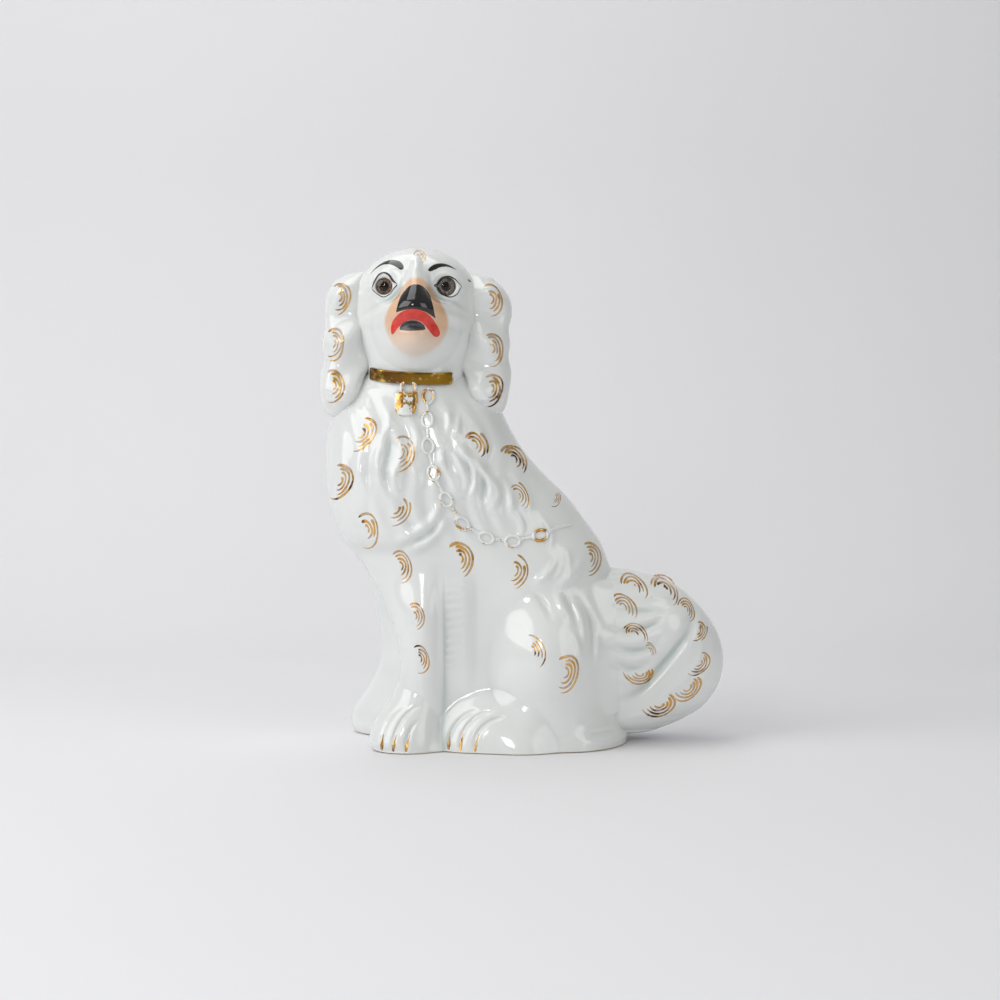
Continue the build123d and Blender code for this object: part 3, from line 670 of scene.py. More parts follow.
def face_depth(x, z, sockets=True):
    """Depth of the face: the plain head with muzzle, chin, nose and brows on it, less the sockets."""
    deep = head_depth(x, z, through(z, *FACE_DEPTH))
    edge = np.clip(deep / 14, 0, 1)
    full = deep + cushion(x, z, *MUZZLE) + cushion(x, z, *CHIN)
    nose = through(z, *NOSE_RIDGE) - 5.5 * ((x - HEAD_X - 0.8) / through(z, *NOSE_WIDTH)) ** 2
    deep = swell(full, nose, 5) + relief(x, z, FACE_LOCKS) * edge
    for name, (seat, outward) in eyes.items():
        off_x, off_z = x - seat[0], z - seat[2]
        away = np.hypot(off_x, off_z)
        flat = -seat[1] - off_x * outward[0] / -outward[1] + 0.3
        deep = deep + (flat - deep) * (1 - step(away, 6.5, 13))
        lid = np.hypot(off_x / LID_HALF[0], (off_z - 0.4) / LID_HALF[1])
        deep = deep + 1.1 * np.exp(-(((lid - 1.0) / 0.2) ** 2))
        if sockets:
            opening = EYE_OPENINGS[name]
            deep = deep - SOCKET_DEPTH * (1 - step(away, opening - 0.5, opening + 0.3))
    return deep


def nape_depth(x, z):
    """Depth of the back of the head: the plain head with shallow waves of hair that hang from the crown."""
    deep = head_depth(x, z, NAPE_DEPTH * (0.92 + 0.08 * step(z, HEAD_LOW, 262)))
    wave = np.cos((x - HEAD_X) * 0.42 + 1.4 * np.sin(z * 0.11)) * 0.7
    return deep + wave * np.clip(deep / 20, 0, 1) * (1 - step(z, 296, 314))


def head_grid(depth, side, rows, columns):
    """Points of a half of the head: rows crowd towards the crown and columns towards the outline."""
    z = HEAD_LOW + (HEAD_TOP - HEAD_LOW) * np.sin(np.linspace(0, math.pi / 2, rows))
    u = np.linspace(0, math.pi, columns)
    x = HEAD_X - head_half_width(z)[:, None] * (0.75 * np.cos(u) + 0.25 * (1 - 2 * u / math.pi))
    return over_plane(x, z, depth, side)


def axes(tree, place):
    """The three coordinates of a place."""
    split = make(tree, "ShaderNodeSeparateXYZ", {}, {"Vector": place})
    return [Value(tree, socket) for socket in split.socket.node.outputs]


def tan_wash(tree, place, cloud, tint):
    """Paints the muzzle: an oval with a ragged edge, narrower above, paler below and browner on one side as
    painted shade.
    """
    x, depth, z = axes(tree, place)
    across = (x - WASH_MIDDLE[0] * MM) / (WASH_HALF[0] * MM)
    up = (z - WASH_MIDDLE[1] * MM) / (WASH_HALF[1] * MM)
    away = (across * across * (1.0 + up.ramp(-0.2, 1.1, 0.0, 1.5)) + up * up).root()
    inside = (away + (cloud - 0.5) * 0.18).ramp(0.9, 1.03, 1.0, 0.0) * depth.ramp(-0.03, -0.02, 1.0, 0.0)
    strong = z.ramp((WASH_MIDDLE[1] - WASH_HALF[1]) * MM, WASH_MIDDLE[1] * MM)
    tan = mix(tree, strong, colour(WASH_PALE), colour(WASH_TAN))
    # Painted shade: the tan turns browner towards the side away from the key light.
    tan = mix(tree, across.ramp(0.25, 0.9) * up.ramp(-0.5, 0.2) * 0.7, tan, colour(WASH_PAINTED_SHADE))
    return mix(tree, inside * 0.9, tint, tan)


grid = head_grid(face_depth, -1, 300, 320)
face_glaze = glaze("face_glaze", tan_wash)
face = mesh_piece("face", [grid], face_glaze, normals=grid_normals(grid), pool=pool_of(grid, -1))
set_on(face, GLAZED, "head_front_half")
grid = head_grid(nape_depth, 1, 180, 200)[:, ::-1]
nape = mesh_piece("nape", [grid], white_glaze, normals=grid_normals(grid), pool=pool_of(grid, 1))
set_on(nape, GLAZED, "head_back_half")

# Ears: hanging drops of three fat ringlets, pressed in clay by themselves and stuck to the head.
# Each has an outer and an inner outline.
EAR_HALF_DEPTH = 14.5
RINGLET_RISE = 3.0
WIND_RISE = 0.07
EARS = {
    "right": (
        [
            (208.5, -97), (210.5, -103), (215, -106.5), (223, -108.8), (237, -109), (246, -107),
            (255, -108.3), (267, -106.2), (278, -106.8), (292, -103.5), (299, -97), (302, -90),
            (303.5, -83),
        ],
        [
            (208.5, -96), (210.5, -90), (215, -85), (224, -80.5), (234, -79.5), (244, -77), (254, -79),
            (266, -76.5), (278, -78), (290, -75), (303.5, -78),
        ],
    ),
    "left": (
        [
            (210, 2), (211, 5.6), (213.5, 8.4), (217.5, 10.3), (224, 11.7), (239, 13.2), (247, 11.6),
            (256, 12.6), (266, 11.8), (275, 13.7), (288, 11), (296, 4), (300, -3), (301.5, -12),
        ],
        [
            (210, 0), (211.5, -6), (216, -11), (225, -16.5), (234, -17), (244, -20), (254, -18),
            (266, -19.5), (278, -18), (290, -20), (301.5, -15),
        ],
    ),
}


def ear_form(drop):
    """At a share of the way down an ear: its half depth with three ringlets, how far its middle lies behind
    the parting plane and how full it is, which falls to 0 at both ends."""
    full = np.clip(np.minimum(drop, 1 - drop) * 9, 0, 1) ** 0.5
    half_depth = (EAR_HALF_DEPTH - RINGLET_RISE * np.cos(6 * math.pi * drop + 0.4)) * full
    return half_depth, 3 - 16 * drop, full


def full_turn(count):
    """Angles of a full turn, the last one step short of the first."""
    return np.linspace(0, 2 * math.pi, count, endpoint=False)


def ear_grid(outer, inner, rows, columns):
    """A ringlet ear: ovals from its lower tip up to the head, as wide as its outline, swollen in three
    rings and wound with a slanting ripple."""
    low, high = outer[0][0], outer[-1][0]
    z = low + (high - low) * (1 - np.cos(np.linspace(0, math.pi, rows))) / 2
    out = outline(outer, z)
    into = outline(inner, z)
    drop = ((high - z) / (high - low))[:, None]
    half_depth, behind, full = ear_form(drop)
    u = full_turn(columns)
    wind = 1 + WIND_RISE * np.cos(4 * u + 13 * drop) * full
    side = np.sign(out.mean() - into.mean())
    half = (np.abs(out - into) / 2)[:, None]
    x = ((out + into) / 2)[:, None] + half * np.cos(u) * side * np.where(np.cos(u) > 0, 1, wind)
    grid = points(x, behind - half_depth * np.sin(u) * wind, z[:, None])
    return grid if side > 0 else grid[:, ::-1]


for name, (outer, inner) in EARS.items():
    grid = ear_grid(outer, inner, 220, 160)[:, ::-1]
    ear = mesh_piece(f"{name}_ear_skin", [grid], white_glaze, loop=True, pool=np.zeros(grid.shape[:2]))
    set_on(ear, GLAZED, f"{name}_ear")

# Tail: a hollow brush of clay, stuck on behind, that sweeps out and curls forwards.
# Its tip lies in locks over the outer band.
low, high = TAIL_OUTER[0][0], TAIL_OUTER[-1][0]
z = low + (high - low) * (1 - np.cos(np.linspace(0, math.pi, 260))) / 2
inner = outline(TAIL_INNER, z)[:, None]
x = inner + (outline(TAIL_OUTER, z)[:, None] - inner) * crowded(180)
front = over_plane(x, z, tail_skin, -1)
back = over_plane(x, z, tail_back, 1)[:, ::-1]
normals = np.stack([grid_normals(front), grid_normals(back)])
pool = np.stack([pool_of(front, -1), pool_of(back, 1)]) * step(np.stack([front, back])[..., 0], 74, 92)
tail = mesh_piece("tail_skin", [front, back], white_glaze, normals=normals, pool=pool)
set_on(tail, GLAZED, "tail")

# Nose, lip and mouth: enamel, brushed over the glaze of the muzzle and fired on.
# Each is a strip along a path or a patch between two curves, a little proud of the glaze.
NOSE_LEFT = -58.2
NOSE_ACROSS = 24.1
NOSE_LOW = ([0, 0.25, 0.5, 0.75, 1], [273.8, 275.2, 275.6, 274, 270.3])
NOSE_AT = [0, 0.05, 0.1, 0.23, 0.35, 0.5, 0.65, 0.77, 0.9, 0.95, 1]
NOSE_HIGH = (NOSE_AT, [274.6, 279.6, 283.2, 288.1, 290.6, 291.5, 290.6, 288, 281.9, 277.4, 271])
LIP = [(-61.4, 260.6), (-58.6, 267), (-53, 271.4), (-47, 272.4), (-41, 270.6), (-36, 265), (-32.6, 259.2)]
LIP_HALF_WIDTHS = [1.3, 2.7, 3.1, 3.3, 3.2, 3.0, 2.7]
MOUTH_X = -48.3
MOUTH_Z = 263.6
MOUTH_HALF = 8


def smooth(path, count):
    """Points along a smooth curve through a path, even along its chords, as x and z."""
    path = np.asarray(path, float)
    at = np.concatenate([[0], np.cumsum(np.hypot(*np.diff(path, axis=0).T))])
    t = np.linspace(0, at[-1], count)
    return through(t, at, path[:, 0]), through(t, at, path[:, 1])


def stroke(path, half_widths, surface, side=-1, count=40, lift=0.12, columns=5):
    """A brush stroke on a surface of depth (x, z): a strip along a path, as wide as half_widths say on the
    way, round at both ends and thickest along its middle."""
    run_x, run_z = smooth(path, count)
    t = np.linspace(0, 1, count)
    slope_x, slope_z = np.gradient(run_x), np.gradient(run_z)
    length = np.hypot(slope_x, slope_z)
    wide = np.interp(t, np.linspace(0, 1, len(half_widths)), half_widths)
    wide = wide * np.sqrt(1 - (2 * t - 1) ** 12 * 0.98)
    v = np.linspace(1, -1, columns) * -side
    x = run_x[:, None] - (slope_z / length * wide)[:, None] * v
    z = run_z[:, None] + (slope_x / length * wide)[:, None] * v
    return points(x, side * (surface(x, z) + lift * (1 - 0.6 * v**2)), z)


def patch_between(x, low, high, surface, rows, lift):
    """A patch on a surface of depth (x, z), between a lower and an upper curve over x."""
    v = np.linspace(0, 1, rows)[:, None]
    z = low + (high - low) * v
    x = np.broadcast_to(x, z.shape)
    return points(x, -(surface(x, z) + lift * np.sin(math.pi * v) ** 0.3), z)


def enamel(name, dark, light, roughness):
    """Fired enamel paint: its colour wanders a little between two shades, as a brush leaves it."""
    made, tree, place = material(name)
    tint = mix(tree, noise(tree, place, 160.0, 3.0).ramp(0.3, 0.7), colour(dark), colour(light))
    ripple = uneven(tree, noise(tree, place, 300.0, 2.0), 0.05, 0.001)
    sockets = {"Base Color": tint, "Roughness": roughness, "Normal": ripple}
    coat(tree, sockets | {"Coat Weight": 0.6, "Coat Roughness": 0.05})
    return made


def painted(name, grids, look, slot=GLAZED):
    """A coat of paint or gold as one piece, which replaces nothing."""
    set_on(mesh_piece(name, grids, look), slot)


def face_skin(x, z):
    """Depth of the face without its eye sockets."""
    return face_depth(x, z, sockets=False)


black = enamel("black_enamel", "#08080A", "#111114", 0.12)
red = enamel("red_enamel", "#CE2013", "#E23420", 0.25)
grey = enamel("mouth_enamel", "#2C2D31", "#3C3D42", 0.35)
u = np.linspace(0, 1, 60)
nose = (NOSE_LEFT + NOSE_ACROSS * u, through(u, *NOSE_LOW), through(u, *NOSE_HIGH))
painted("nose", [patch_between(*nose, face_skin, rows=40, lift=0.15)], black)
painted("lip", [stroke(LIP, LIP_HALF_WIDTHS, face_skin, count=80, lift=0.3, columns=9)], red)
across = np.linspace(-1, 1, 40)
bow = np.sqrt(1 - across**2)
mouth = (MOUTH_X + MOUTH_HALF * across, MOUTH_Z - 1.1 * bow, MOUTH_Z + 0.2 + 5.2 * bow)
painted("mouth", [patch_between(*mouth, face_skin, rows=16, lift=0.2)], grey)

# Brows and lids: lines of black enamel, drawn on the glaze with a fine brush.
# Each is a path and the half widths along it.
LINES = [
    ([
        (-55, 301.9), (-57.8, 305), (-61.8, 306.7), (-66, 306.7), (-73.2, 302.9), (-76.6, 299.1),
    ], [1.7, 2.2, 1.5, 0.7, 0.35, 0.1]),
    ([
        (-38.9, 300.9), (-35.7, 303.1), (-31.5, 304.8), (-27.6, 304.8), (-21.4, 302.4),
    ], [1.2, 1.7, 1.2, 0.6, 0.15]),
    ([(-14.6, 296.6), (-13.5, 296), (-12.4, 295.2)], [0.3, 0.7, 0.3]),
    ([
        (-74.9, 289.9), (-72.8, 294.7), (-69.9, 298.8), (-67, 300), (-64.1, 298.6), (-61.2, 294.7),
        (-58.3, 292.3),
    ], [0.25, 0.35, 0.5, 0.55, 0.6, 0.8, 0.1]),
    ([
        (-58.3, 292.3), (-60.7, 289.9), (-63.1, 286.6), (-67, 284.6), (-71.3, 286.6), (-74.9, 289.9),
    ], [0.45, 0.4, 0.3, 0.25, 0.2]),
    ([
        (-35.5, 291.8), (-33.3, 292.8), (-30.5, 296.2), (-26.6, 297.6), (-22.8, 296.2), (-19.9, 293.3),
        (-18, 291.6),
    ], [0.5, 0.6, 0.5, 0.45, 0.4, 0.3, 0.15]),
    ([
        (-35.5, 291.8), (-32.4, 289.9), (-30, 286.6), (-25.7, 284.6), (-21.4, 286.1), (-19, 289.9),
        (-18, 291.6),
    ], [0.5, 0.4, 0.3, 0.2]),
]
painted("brows_and_lids", [stroke(path, widths, face_skin, count=50) for path, widths in LINES], black)

# Eyes: a glass cabochon over a painted iris and pupil, set into each socket with plaster after the firing.
# One iris is greyer than the other.
EYE_RADIUS = 6.25
DOME_RISE = 2.6
DOME_OUT = 1.2
GLASS_SHINE = 0.045
IRIS_EDGE = "#1C1410"
IRIS_HEART = "#0A0706"
PUPIL_SHADES = ("#050505", "#120D0B")
IRIS_SHADES = {"left": ("#4A443D", "#A39A8E"), "right": ("#4A3022", "#96705A")}
clear_glass, tree, place = material("clear_glass")
ripple = uneven(tree, noise(tree, place, 200.0, 1.0), 0.02, 0.001)
shine = make(tree, "ShaderNodeBsdfGlossy", {}, {"Roughness": 0.03, "Normal": ripple})
clear = make(tree, "ShaderNodeBsdfTransparent")
coat(tree, {0: GLASS_SHINE, 1: clear, 2: shine}, "ShaderNodeMixShader")
pupil_black, tree, place = material("pupil_black")
tint = mix(tree, noise(tree, place, 400.0, 2.0), *map(colour, PUPIL_SHADES))
coat(tree, {"Base Color": tint, "Roughness": 0.3, "Specular IOR Level": 0.0})
for name, (dark, light) in IRIS_SHADES.items():
    seat, outward = eyes[name]
    level = np.array([-outward[1], outward[0], 0])
    upright = np.array([0, 0, 1])
    reach = np.sin(np.linspace(math.pi / 2, 0.02, 24))[:, None] * EYE_RADIUS
    turn = full_turn(64)
    ball = (EYE_RADIUS**2 + DOME_RISE**2) / (2 * DOME_RISE)
    bulge = np.sqrt(ball**2 - reach**2) - ball + DOME_OUT
    grid = seat + (reach * np.cos(turn))[..., None] * level + (reach * np.sin(turn))[..., None] * upright
    grid = grid + bulge[..., None] * outward
    glass = mesh_piece(f"{name}_eye_dome", [grid], clear_glass, loop=True)
    set_on(glass, "eye_glass", f"{name}_eye_glass")
    iris, tree, place = material(f"{name}_iris")
    x, _, z = axes(tree, place)
    off_x = x - seat[0] * MM
    off_z = z - seat[2] * MM
    away = (off_x * off_x + off_z * off_z).root() / MM
    fleck = noise(tree, place, 900.0, 4.0) * 0.7 + noise(tree, place, 260.0, 2.0) * 0.5
    tint = mix(tree, fleck.ramp(0.45, 0.75), colour(dark), colour(light))
    tint = mix(tree, away.ramp(4.4, 5.6) * 0.8, tint, colour(IRIS_EDGE))
    tint = mix(tree, away.ramp(2.7, 3.5, 1.0, 0.0), tint, colour(IRIS_HEART))
    coat(tree, {"Base Color": tint, "Roughness": 0.35, "Specular IOR Level": 0.1})
    dress(f"{name}_eye_iris", iris)
    dress(f"{name}_eye_pupil", pupil_black)

# Fur marks: bright gold brushed on the glaze and fired, brown in cloudy patches and pink where it is worn
# thin.
# Each mark is a few nested bows, given as (x, z, turn in degrees, size, wear).
GILDED = "gilding"
GOLD_WEAR = 0.9
GOLD_DEEP = "#D9A64E"
GOLD_PALE = "#E9C98C"
GOLD_BROWN = "#5A3B26"
GOLD_PINK = "#C4A28C"
MARK_BULB = np.array([1.6, 1.45, 1.0, 0.85, 0.95, 1.1, 0.9, 0.45])
stroke_gold, tree, place = material("stroke_gold")
cloud = noise(tree, place, 75.0, 3.0)
shade = mix(tree, cloud.ramp(0.5, 0.62), colour(GOLD_DEEP), colour(GOLD_PALE))
shade = mix(tree, cloud.ramp(0.36, 0.46, 1.0, 0.0), shade, colour(GOLD_BROWN))
thin = (noise(tree, place, 320.0, 3.0) + cloud * 0.5).ramp(0.68, 0.9) * GOLD_WEAR
shade = mix(tree, thin, shade, colour(GOLD_PINK))
sockets = {"Base Color": shade, "Metallic": 0.65 - thin * 0.4, "Roughness": 0.2 + thin * 0.2}
coat(tree, sockets | {"Alpha": 1.0 - thin * 0.5})


def curl(place, turn, size, wear, surface, side):
    """A fur mark: four nested bows, open on one side, each starting in a bulb. wear leaves parts out."""
    tilt = math.radians(turn)
    grids = []
    lean = rng.uniform(-0.12, 0.12)
    for ring in range(4):
        inner = 3 - ring
        reach = (0.28 + 0.245 * ring) * size
        start = math.radians(128 + rng.uniform(-14, 10) - 7 * inner)
        end = math.radians(-88 + rng.uniform(-20, 22) + 4 * inner)
        if rng.uniform() < wear * 0.7:
            start, end = start - rng.uniform(0, 1.5), end + rng.uniform(0, 1.0)
        a = np.linspace(start, end, 14)
        wobble = 1 + 0.04 * np.sin(3 * a + rng.uniform(0, 6))
        up = 1.05 * reach * np.sin(a) * wobble + 0.03 * inner * size
        right = 0.78 * reach * np.cos(a) * wobble - 0.18 * size + lean * up
        x = place[0] + right * math.cos(tilt) - up * math.sin(tilt)
        z = place[1] + right * math.sin(tilt) + up * math.cos(tilt)
        thick = (0.7 - 0.24 * wear) * size / 10.5 * rng.uniform(0.85, 1.15)
        bow = np.stack([x, z], axis=-1)
        grids.append(stroke(bow, thick * MARK_BULB, surface, side, count=30, lift=0.14, columns=3))
    return grids


def ear_skin(outer, inner):
    """Gives depth(x, z), the front of an ear as a depth over the parting plane."""
    low, high = outer[0][0], outer[-1][0]
    side = np.sign(outer[4][1] - inner[4][1])

    def depth(x, z):
        out = outline(outer, z)
        into = outline(inner, z)
        drop = np.clip((high - z) / (high - low), 0, 1)
        u = np.arccos(np.clip((x - (out + into) / 2) / (np.abs(out - into) / 2) * side, -0.99, 0.99))
        half_depth, behind, full = ear_form(drop)
        return half_depth * np.sin(u) * (1 + WIND_RISE * np.cos(4 * u + 13 * drop) * full) - behind + 0.15

    return depth


MARKS = {
    "right_ear_gold": (ear_skin(*EARS["right"]), -1, [
        (-95.5, 284, -15, 9.5, 0.2), (-99.0, 254.5, -20, 9.5, 0.4), (-98.6, 228, -15, 9.5, 0.2),
    ]),
    "left_ear_gold": (ear_skin(*EARS["left"]), -1, [
        (1.5, 283, -10, 9.5, 0.4), (2.2, 251.5, -10, 9.5, 0.3), (1.6, 226, -5, 9.5, 0.3),
    ]),
    "forehead_gold": (face_skin, -1, [(-44.5, 310.3, 35, 5.4, 0.6)]),
    "chest_gold": (near_depth, -1, [
        (-80.5, 197.3, -32, 11, 0.3), (-94.6, 167.3, -22, 11, 0.2), (-55.0, 184.8, -15, 11, 0.9),
        (-58.2, 149.9, -32, 11, 0.7), (-76.8, 137.4, 4, 10.5, 0.2), (-55.4, 114.3, -8, 9.5, 0.5),
        (-17.7, 119.3, 0, 10.5, 0.1), (16.4, 111.1, -25, 10.5, 0.5),
    ]),
    "shoulder_gold": (near_depth, -1, [
        (-8.4, 191.6, 24, 10, 0.2), (16.4, 182.2, 22, 9.5, 0.2), (18.5, 159.1, 5, 8.5, 0.9),
        (41.5, 157.0, -35, 5, 0.9), (-46.3, 84, 0, 8, 0.6), (-43.2, 57.2, -8, 8, 0.7),
        (27.7, 62.8, 0, 10, 1.0), (47.7, 48.7, -18, 11, 0.4), (64.5, 118.9, -4, 9.5, 0.2),
    ]),
    "tail_gold": (tail_skin, -1, [
        (92.6, 101, 38, 9, 0.7), (112.9, 99.1, 42, 9.5, 0.2), (85.7, 89, 45, 9, 0.2),
        (92.6, 72.6, 60, 8, 0.6), (101.5, 61, 10, 5, 0.8), (93.6, 45.5, -92, 9, 0.1),
        (106.5, 24.5, -84, 10.5, 0.0), (125.5, 34.5, -66, 9.5, 0.2), (133.5, 50.5, -50, 8, 0.3),
        (133.5, 71.5, -25, 7.5, 0.3), (126.0, 86, 20, 7, 0.5),
    ]),
    "far_side_gold": (far_depth, 1, [
        (-75, 190, 20, 11, 0.3), (-45, 165, 25, 11, 0.3), (-10, 185, -20, 10, 0.3),
        (-30, 130, 10, 10, 0.4), (10, 140, -15, 10, 0.3), (35, 120, -10, 10, 0.3), (25, 70, 10, 10, 0.4),
        (55, 60, 15, 10, 0.4), (-62, 90, 0, 8, 0.5),
    ]),
    "tail_back_gold": (tail_back, 1, [
        (100, 85, -30, 9, 0.3), (125, 65, 30, 9, 0.3), (105, 45, 60, 9, 0.3), (130, 40, 70, 8, 0.3),
    ]),
}
rng = np.random.default_rng(7)
for name, (surface, side, marks) in MARKS.items():
    grids = []
    for mark_x, mark_z, turn, size, wear in marks:
        grids += curl((mark_x, mark_z), turn, size, wear, surface, side)
    painted(name, grids, stroke_gold, GILDED)

# Claws: drops of the same gold at the toes, each drawn up into a thin line with the tip of the brush.
# Each is where it starts and how far it leans.
CLAWS = [(-67.8, 2.5), (-60.3, 4), (-52.3, 5), (-26.2, 2), (-18.8, 3.5), (-9.5, 5)]
CLAW_HALF_WIDTHS = [0.7, 1.15, 0.45, 0.2]
grids = []
for claw_x, lean in CLAWS:
    path = [(claw_x, 1.2), (claw_x + 0.1, 3.4), (claw_x + 0.2 * lean, 7), (claw_x + 0.5 * lean, 12)]
    grids.append(stroke(path, CLAW_HALF_WIDTHS, near_depth, count=30))
painted("claws", grids, stroke_gold, GILDED)

# Collar: a flat clay band, moulded round the neck and glazed with it, gilt where it is seen.
# Under the ears it sinks back and stays white.
COLLAR = np.array([-47.5, -2.0, 238.0])
COLLAR_HALF = (34.7, 33.2)
COLLAR_TILT = math.radians(8)
COLLAR_ROLL = math.radians(2.5)
BAND_HALF = 3.8
BAND_THICK = 1.1
BAND_SINK = 2.6
BAND_PAINTED_REFLECTION_GOLDS = ("#6E4C20", "#94701F")
BAND_PAINTED_HIGHLIGHT = "#E9C766"
BAND_RUBBED = "#D8C5A8"
collar_gold, tree, place = material("collar_gold")
x, depth, _ = axes(tree, place)
cloud = noise(tree, place, 60.0, 4.0)
# Painted reflection: the gold darkens to brown towards the left, as if it reflected a dark room.
shade = mix(tree, (x * 30.0 + cloud * 1.4).ramp(-1.3, -0.4), *map(colour, BAND_PAINTED_REFLECTION_GOLDS))
# Painted highlights: bright gold in cloudy patches. The pale rubbed specks below are wear.
shade = mix(tree, cloud.ramp(0.56, 0.7), shade, colour(BAND_PAINTED_HIGHLIGHT))
shade = mix(tree, noise(tree, place, 380.0, 4.0).ramp(0.6, 0.72) * 0.5, shade, colour(BAND_RUBBED))
gilded = x.ramp(-0.0778, -0.0770) * x.ramp(-0.0242, -0.0234, 1.0, 0.0)
gilded = gilded * depth.ramp(-0.012, -0.010, 1.0, 0.0)
tint = mix(tree, gilded, colour(GLAZE_WHITE), shade)
coat(tree, {"Base Color": tint, "Metallic": gilded * 0.9, "Roughness": 0.12 + gilded * 0.1})
turn = full_turn(480)
around = np.linspace(0, 2 * math.pi, 33)[:, None]
seen = band(np.cos(turn) * COLLAR_HALF[0], (-29.9, -29.3), (23.5, 24.1)) * (np.sin(turn) < 0)
out = -BAND_THICK + BAND_THICK * np.sign(np.cos(around)) * np.abs(np.cos(around)) ** 0.35
out = out - BAND_SINK * (1 - seen)
up = BAND_HALF * np.sign(np.sin(around)) * np.abs(np.sin(around)) ** 0.35
round_x = np.cos(turn) * (COLLAR_HALF[0] + out)
round_y = np.sin(turn) * (COLLAR_HALF[1] + out)
low_y = round_y * math.cos(COLLAR_TILT) - up * math.sin(COLLAR_TILT)
low_z = round_y * math.sin(COLLAR_TILT) + up * math.cos(COLLAR_TILT)
side_x = round_x * math.cos(COLLAR_ROLL) + low_z * math.sin(COLLAR_ROLL)
side_z = low_z * math.cos(COLLAR_ROLL) - round_x * math.sin(COLLAR_ROLL)
grid = COLLAR + points(side_x, low_y, side_z)
set_on(mesh_piece("collar_band", [grid], collar_gold, loop=True), GILDED, "collar")

# Padlock: a small shield of clay with a rounded edge and the ring that it hangs from, below the collar.
# Both are sprigs, pressed apart and stuck on, and their gold is mostly rubbed off.
PADLOCK_X = -53.2
PADLOCK_LOW = 209.8
PADLOCK_TALL = 15.2
PADLOCK_HALF = ([0, 0.1, 0.5, 0.75, 0.92, 1], [7.2, 7.5, 7.4, 6.6, 5.0, 3.6])
PADLOCK_EDGE = 1.6
PADLOCK_RISE = 2.5
PADLOCK_STRIPES = ((-0.0592, -0.0552), (-0.0484, -0.0450))
PADLOCK_BARE = 0.67
LOOP_MIDDLE = (-51.7, 227.6)
LOOP_HALF = (4.6, 4.2)
SPRIG_GOLDS = ("#A87434", "#E2B45C")


def sprig(name, least, stripes=()):
    """Gold on a sprig, rubbed off to the glaze where a noise is below least. A stripe keeps more of it."""
    made, tree, place = material(name)
    x, _, z = axes(tree, place)
    rub = noise(tree, place, 420.0, 3.0)
    more = z.ramp(0.196, 0.222) + x.ramp(-0.012, 0.004) * 0.8
    left = noise(tree, place, 95.0, 3.0) + (rub - 0.5) * 0.5 + more * 0.07
    for low, high in stripes:
        left = left + x.ramp(low - 0.0008, low) * x.ramp(high, high + 0.0008, 1.0, 0.0) * 0.16
    gold = left.ramp(least, least + 0.08)
    shade = mix(tree, rub.ramp(0.4, 0.6), *map(colour, SPRIG_GOLDS))
    tint = mix(tree, gold, colour(GLAZE_WHITE), shade)
    sockets = {"Base Color": tint, "Metallic": gold * 0.85, "Roughness": 0.1 + gold * 0.12}
    coat(tree, sockets | {"Coat Weight": 0.3})
    return made


def link(middle, half_long, half_wide, along, wire, lift):
    """A ring on the breast: a round wire along an ellipse, its long axis turned to an angle."""
    t = full_turn(72)
    a = np.linspace(0, 2 * math.pi, 15)[:, None]
    right, up = half_long * np.cos(t), half_wide * np.sin(t)
    out_x, out_z = np.cos(t) / half_long, np.sin(t) / half_wide
    off = wire * np.cos(a) / np.hypot(out_x, out_z)
    cos, sin = math.cos(along), math.sin(along)
    spine_x = middle[0] + right * cos - up * sin
    spine_z = middle[1] + right * sin + up * cos
    x = spine_x + off * (out_x * cos - out_z * sin)
    z = spine_z + off * (out_x * sin + out_z * cos)
    return points(x, -(near_depth(spine_x, spine_z) + lift + wire * np.sin(a)), z)


padlock_gold = sprig("padlock_gold", PADLOCK_BARE, PADLOCK_STRIPES)
v = np.linspace(0, 1, 48)[:, None]
u = np.linspace(-1, 1, 40)
half = through(v, *PADLOCK_HALF)
x = PADLOCK_X + half * u
z = PADLOCK_LOW + PADLOCK_TALL * (1 - v) + 0 * u
rounded = dome(np.minimum((1 - np.abs(u)) * half, np.minimum(v, 1 - v) * PADLOCK_TALL) / PADLOCK_EDGE)
lift = PADLOCK_RISE * rounded - 0.2 + 0.5 * (1 - u**2)
grid = points(x, -(near_depth(x, z) + lift), z)[::-1]
set_on(mesh_piece("padlock_case", [grid], padlock_gold), GILDED, "padlock")
ring = link(LOOP_MIDDLE, *LOOP_HALF, 0.0, wire=1.05, lift=2.2)
set_on(mesh_piece("padlock_loop", [ring], padlock_gold, loop=True), GILDED, "padlock_ring")

# Lead chain: clay rings, and a link seen edge on between each two, sprigged along breast and shoulder.
# Its gold is mostly rubbed off, and its end runs out into the glaze.
RINGS = [
    (-39, 222.5), (-39.5, 207.5), (-39, 191), (-35.5, 174), (-27.5, 157.5), (-17.5, 142.5),
    (-2.5, 133.5), (14, 131.5), (31.5, 135),
]
RING_HALF = (4.6, 3.3)
LINK_HALF_WIDTHS = [1.5, 0.9, 1.5]
LINK_IN = 4.2
CHAIN_BARE = 0.55
END_PATH = [(36, 136.5), (41, 139), (52, 141)]
END_HALF_WIDTHS = [1.2, 1.4, 0.4]
chain_gold = sprig("chain_gold", CHAIN_BARE)
route = np.array(RINGS, float)
grids = []
for middle, run in zip(route, np.gradient(route, axis=0)):
    grids.append(link(middle, *RING_HALF, math.atan2(run[1], run[0]), wire=1.0, lift=0.55))
set_on(mesh_piece("chain_rings", grids, chain_gold, loop=True), GILDED, "lead_chain")
grids = []
for start, end in zip(route[:-1], route[1:]):
    run = (end - start) / np.hypot(*(end - start))
    path = [start + run * LINK_IN, (start + end) / 2, end - run * LINK_IN]
    grids.append(stroke(path, LINK_HALF_WIDTHS, near_depth, count=24, lift=1.1, columns=9))
painted("chain_links", grids, chain_gold, GILDED)
trail = stroke(END_PATH, END_HALF_WIDTHS, near_depth, count=30, lift=0.8, columns=9)
painted("chain_end", [trail], white_glaze)

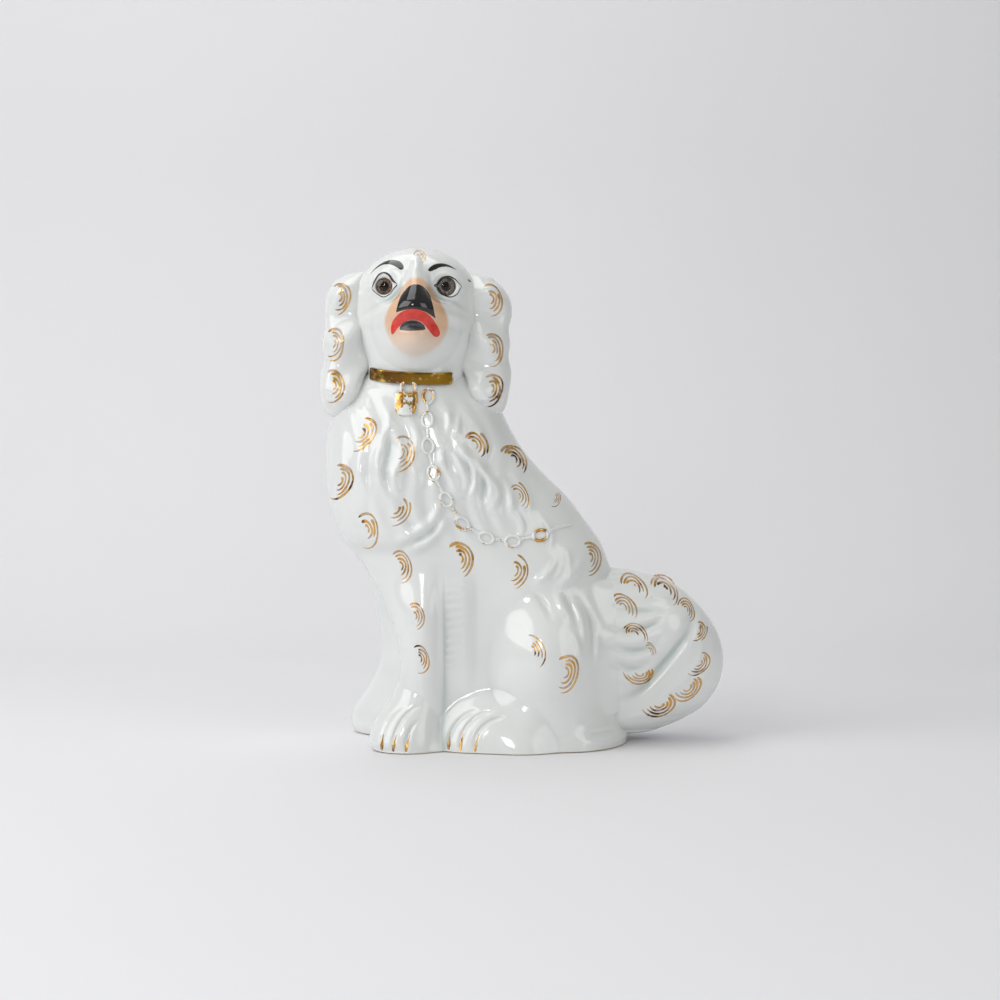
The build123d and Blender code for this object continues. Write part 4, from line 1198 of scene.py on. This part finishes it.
# Backdrop: a pale sheet of paper that runs from under the figure up behind it in one sweep.
PAPER_REACH = 3000
SWEEP_RADIUS = 500
bend = np.linspace(0.05, math.pi / 2, 30)
floor = np.linspace(-PAPER_REACH, SWEEP_RADIUS, 30)
run = np.concatenate([floor, SWEEP_RADIUS + SWEEP_RADIUS * np.sin(bend), np.full(20, 2.0 * SWEEP_RADIUS)])
wall = np.linspace(520, PAPER_REACH, 20)
rise = -0.3 + np.concatenate([np.zeros(30), SWEEP_RADIUS - SWEEP_RADIUS * np.cos(bend), wall])
across = np.linspace(-PAPER_REACH, PAPER_REACH, 30)
grid = points(across, run[:, None], rise[:, None])
paper, tree, place = material("paper")
tint = mix(tree, noise(tree, place, 3.0, 2.0), colour("#EBEAED"), colour("#EEEDF0"))
coat(tree, {"Base Color": tint, "Roughness": 0.85})
mesh_piece("backdrop", [grid], paper)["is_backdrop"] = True


# Light: a large soft box at the front left, a weaker one at the right, one overhead and a small window.
def soft_box(name, place, aim, size, power):
    """A rectangular lamp at a place in metres, turned to face its aim."""
    lamp = bpy.data.lights.new(name, "AREA")
    lamp.shape = "RECTANGLE"
    lamp.size, lamp.size_y = size
    lamp.energy = power
    holder = bpy.data.objects.new(name, lamp)
    holder.location = place
    away = np.array(aim) - np.array(place)
    flat = math.hypot(away[0], away[1])
    holder.rotation_euler = (math.atan2(flat, -away[2]), 0, math.atan2(away[1], away[0]) - math.pi / 2)
    scene.collection.objects.link(holder)


soft_box("key", (-1.3, -0.75, 1.0), (0, 0, 0.15), (1.3, 1.4), 14.0)
soft_box("fill", (1.3, -1.2, 0.7), (0, 0, 0.15), (0.8, 1.2), 4.6)
soft_box("window", (-0.36, -1.25, 0.62), (-0.04, 0, 0.25), (0.2, 0.3), 2.0)
soft_box("top", (-0.35, 0.2, 1.7), (-0.1, 0.1, 0.1), (1.4, 1.0), 8)
world = bpy.data.worlds.new("room")
world.use_nodes = True
world.node_tree.nodes["Background"].inputs["Color"].default_value = colour("#DDDFDA")
world.node_tree.nodes["Background"].inputs["Strength"].default_value = 0.4
scene.world = world

low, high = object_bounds()
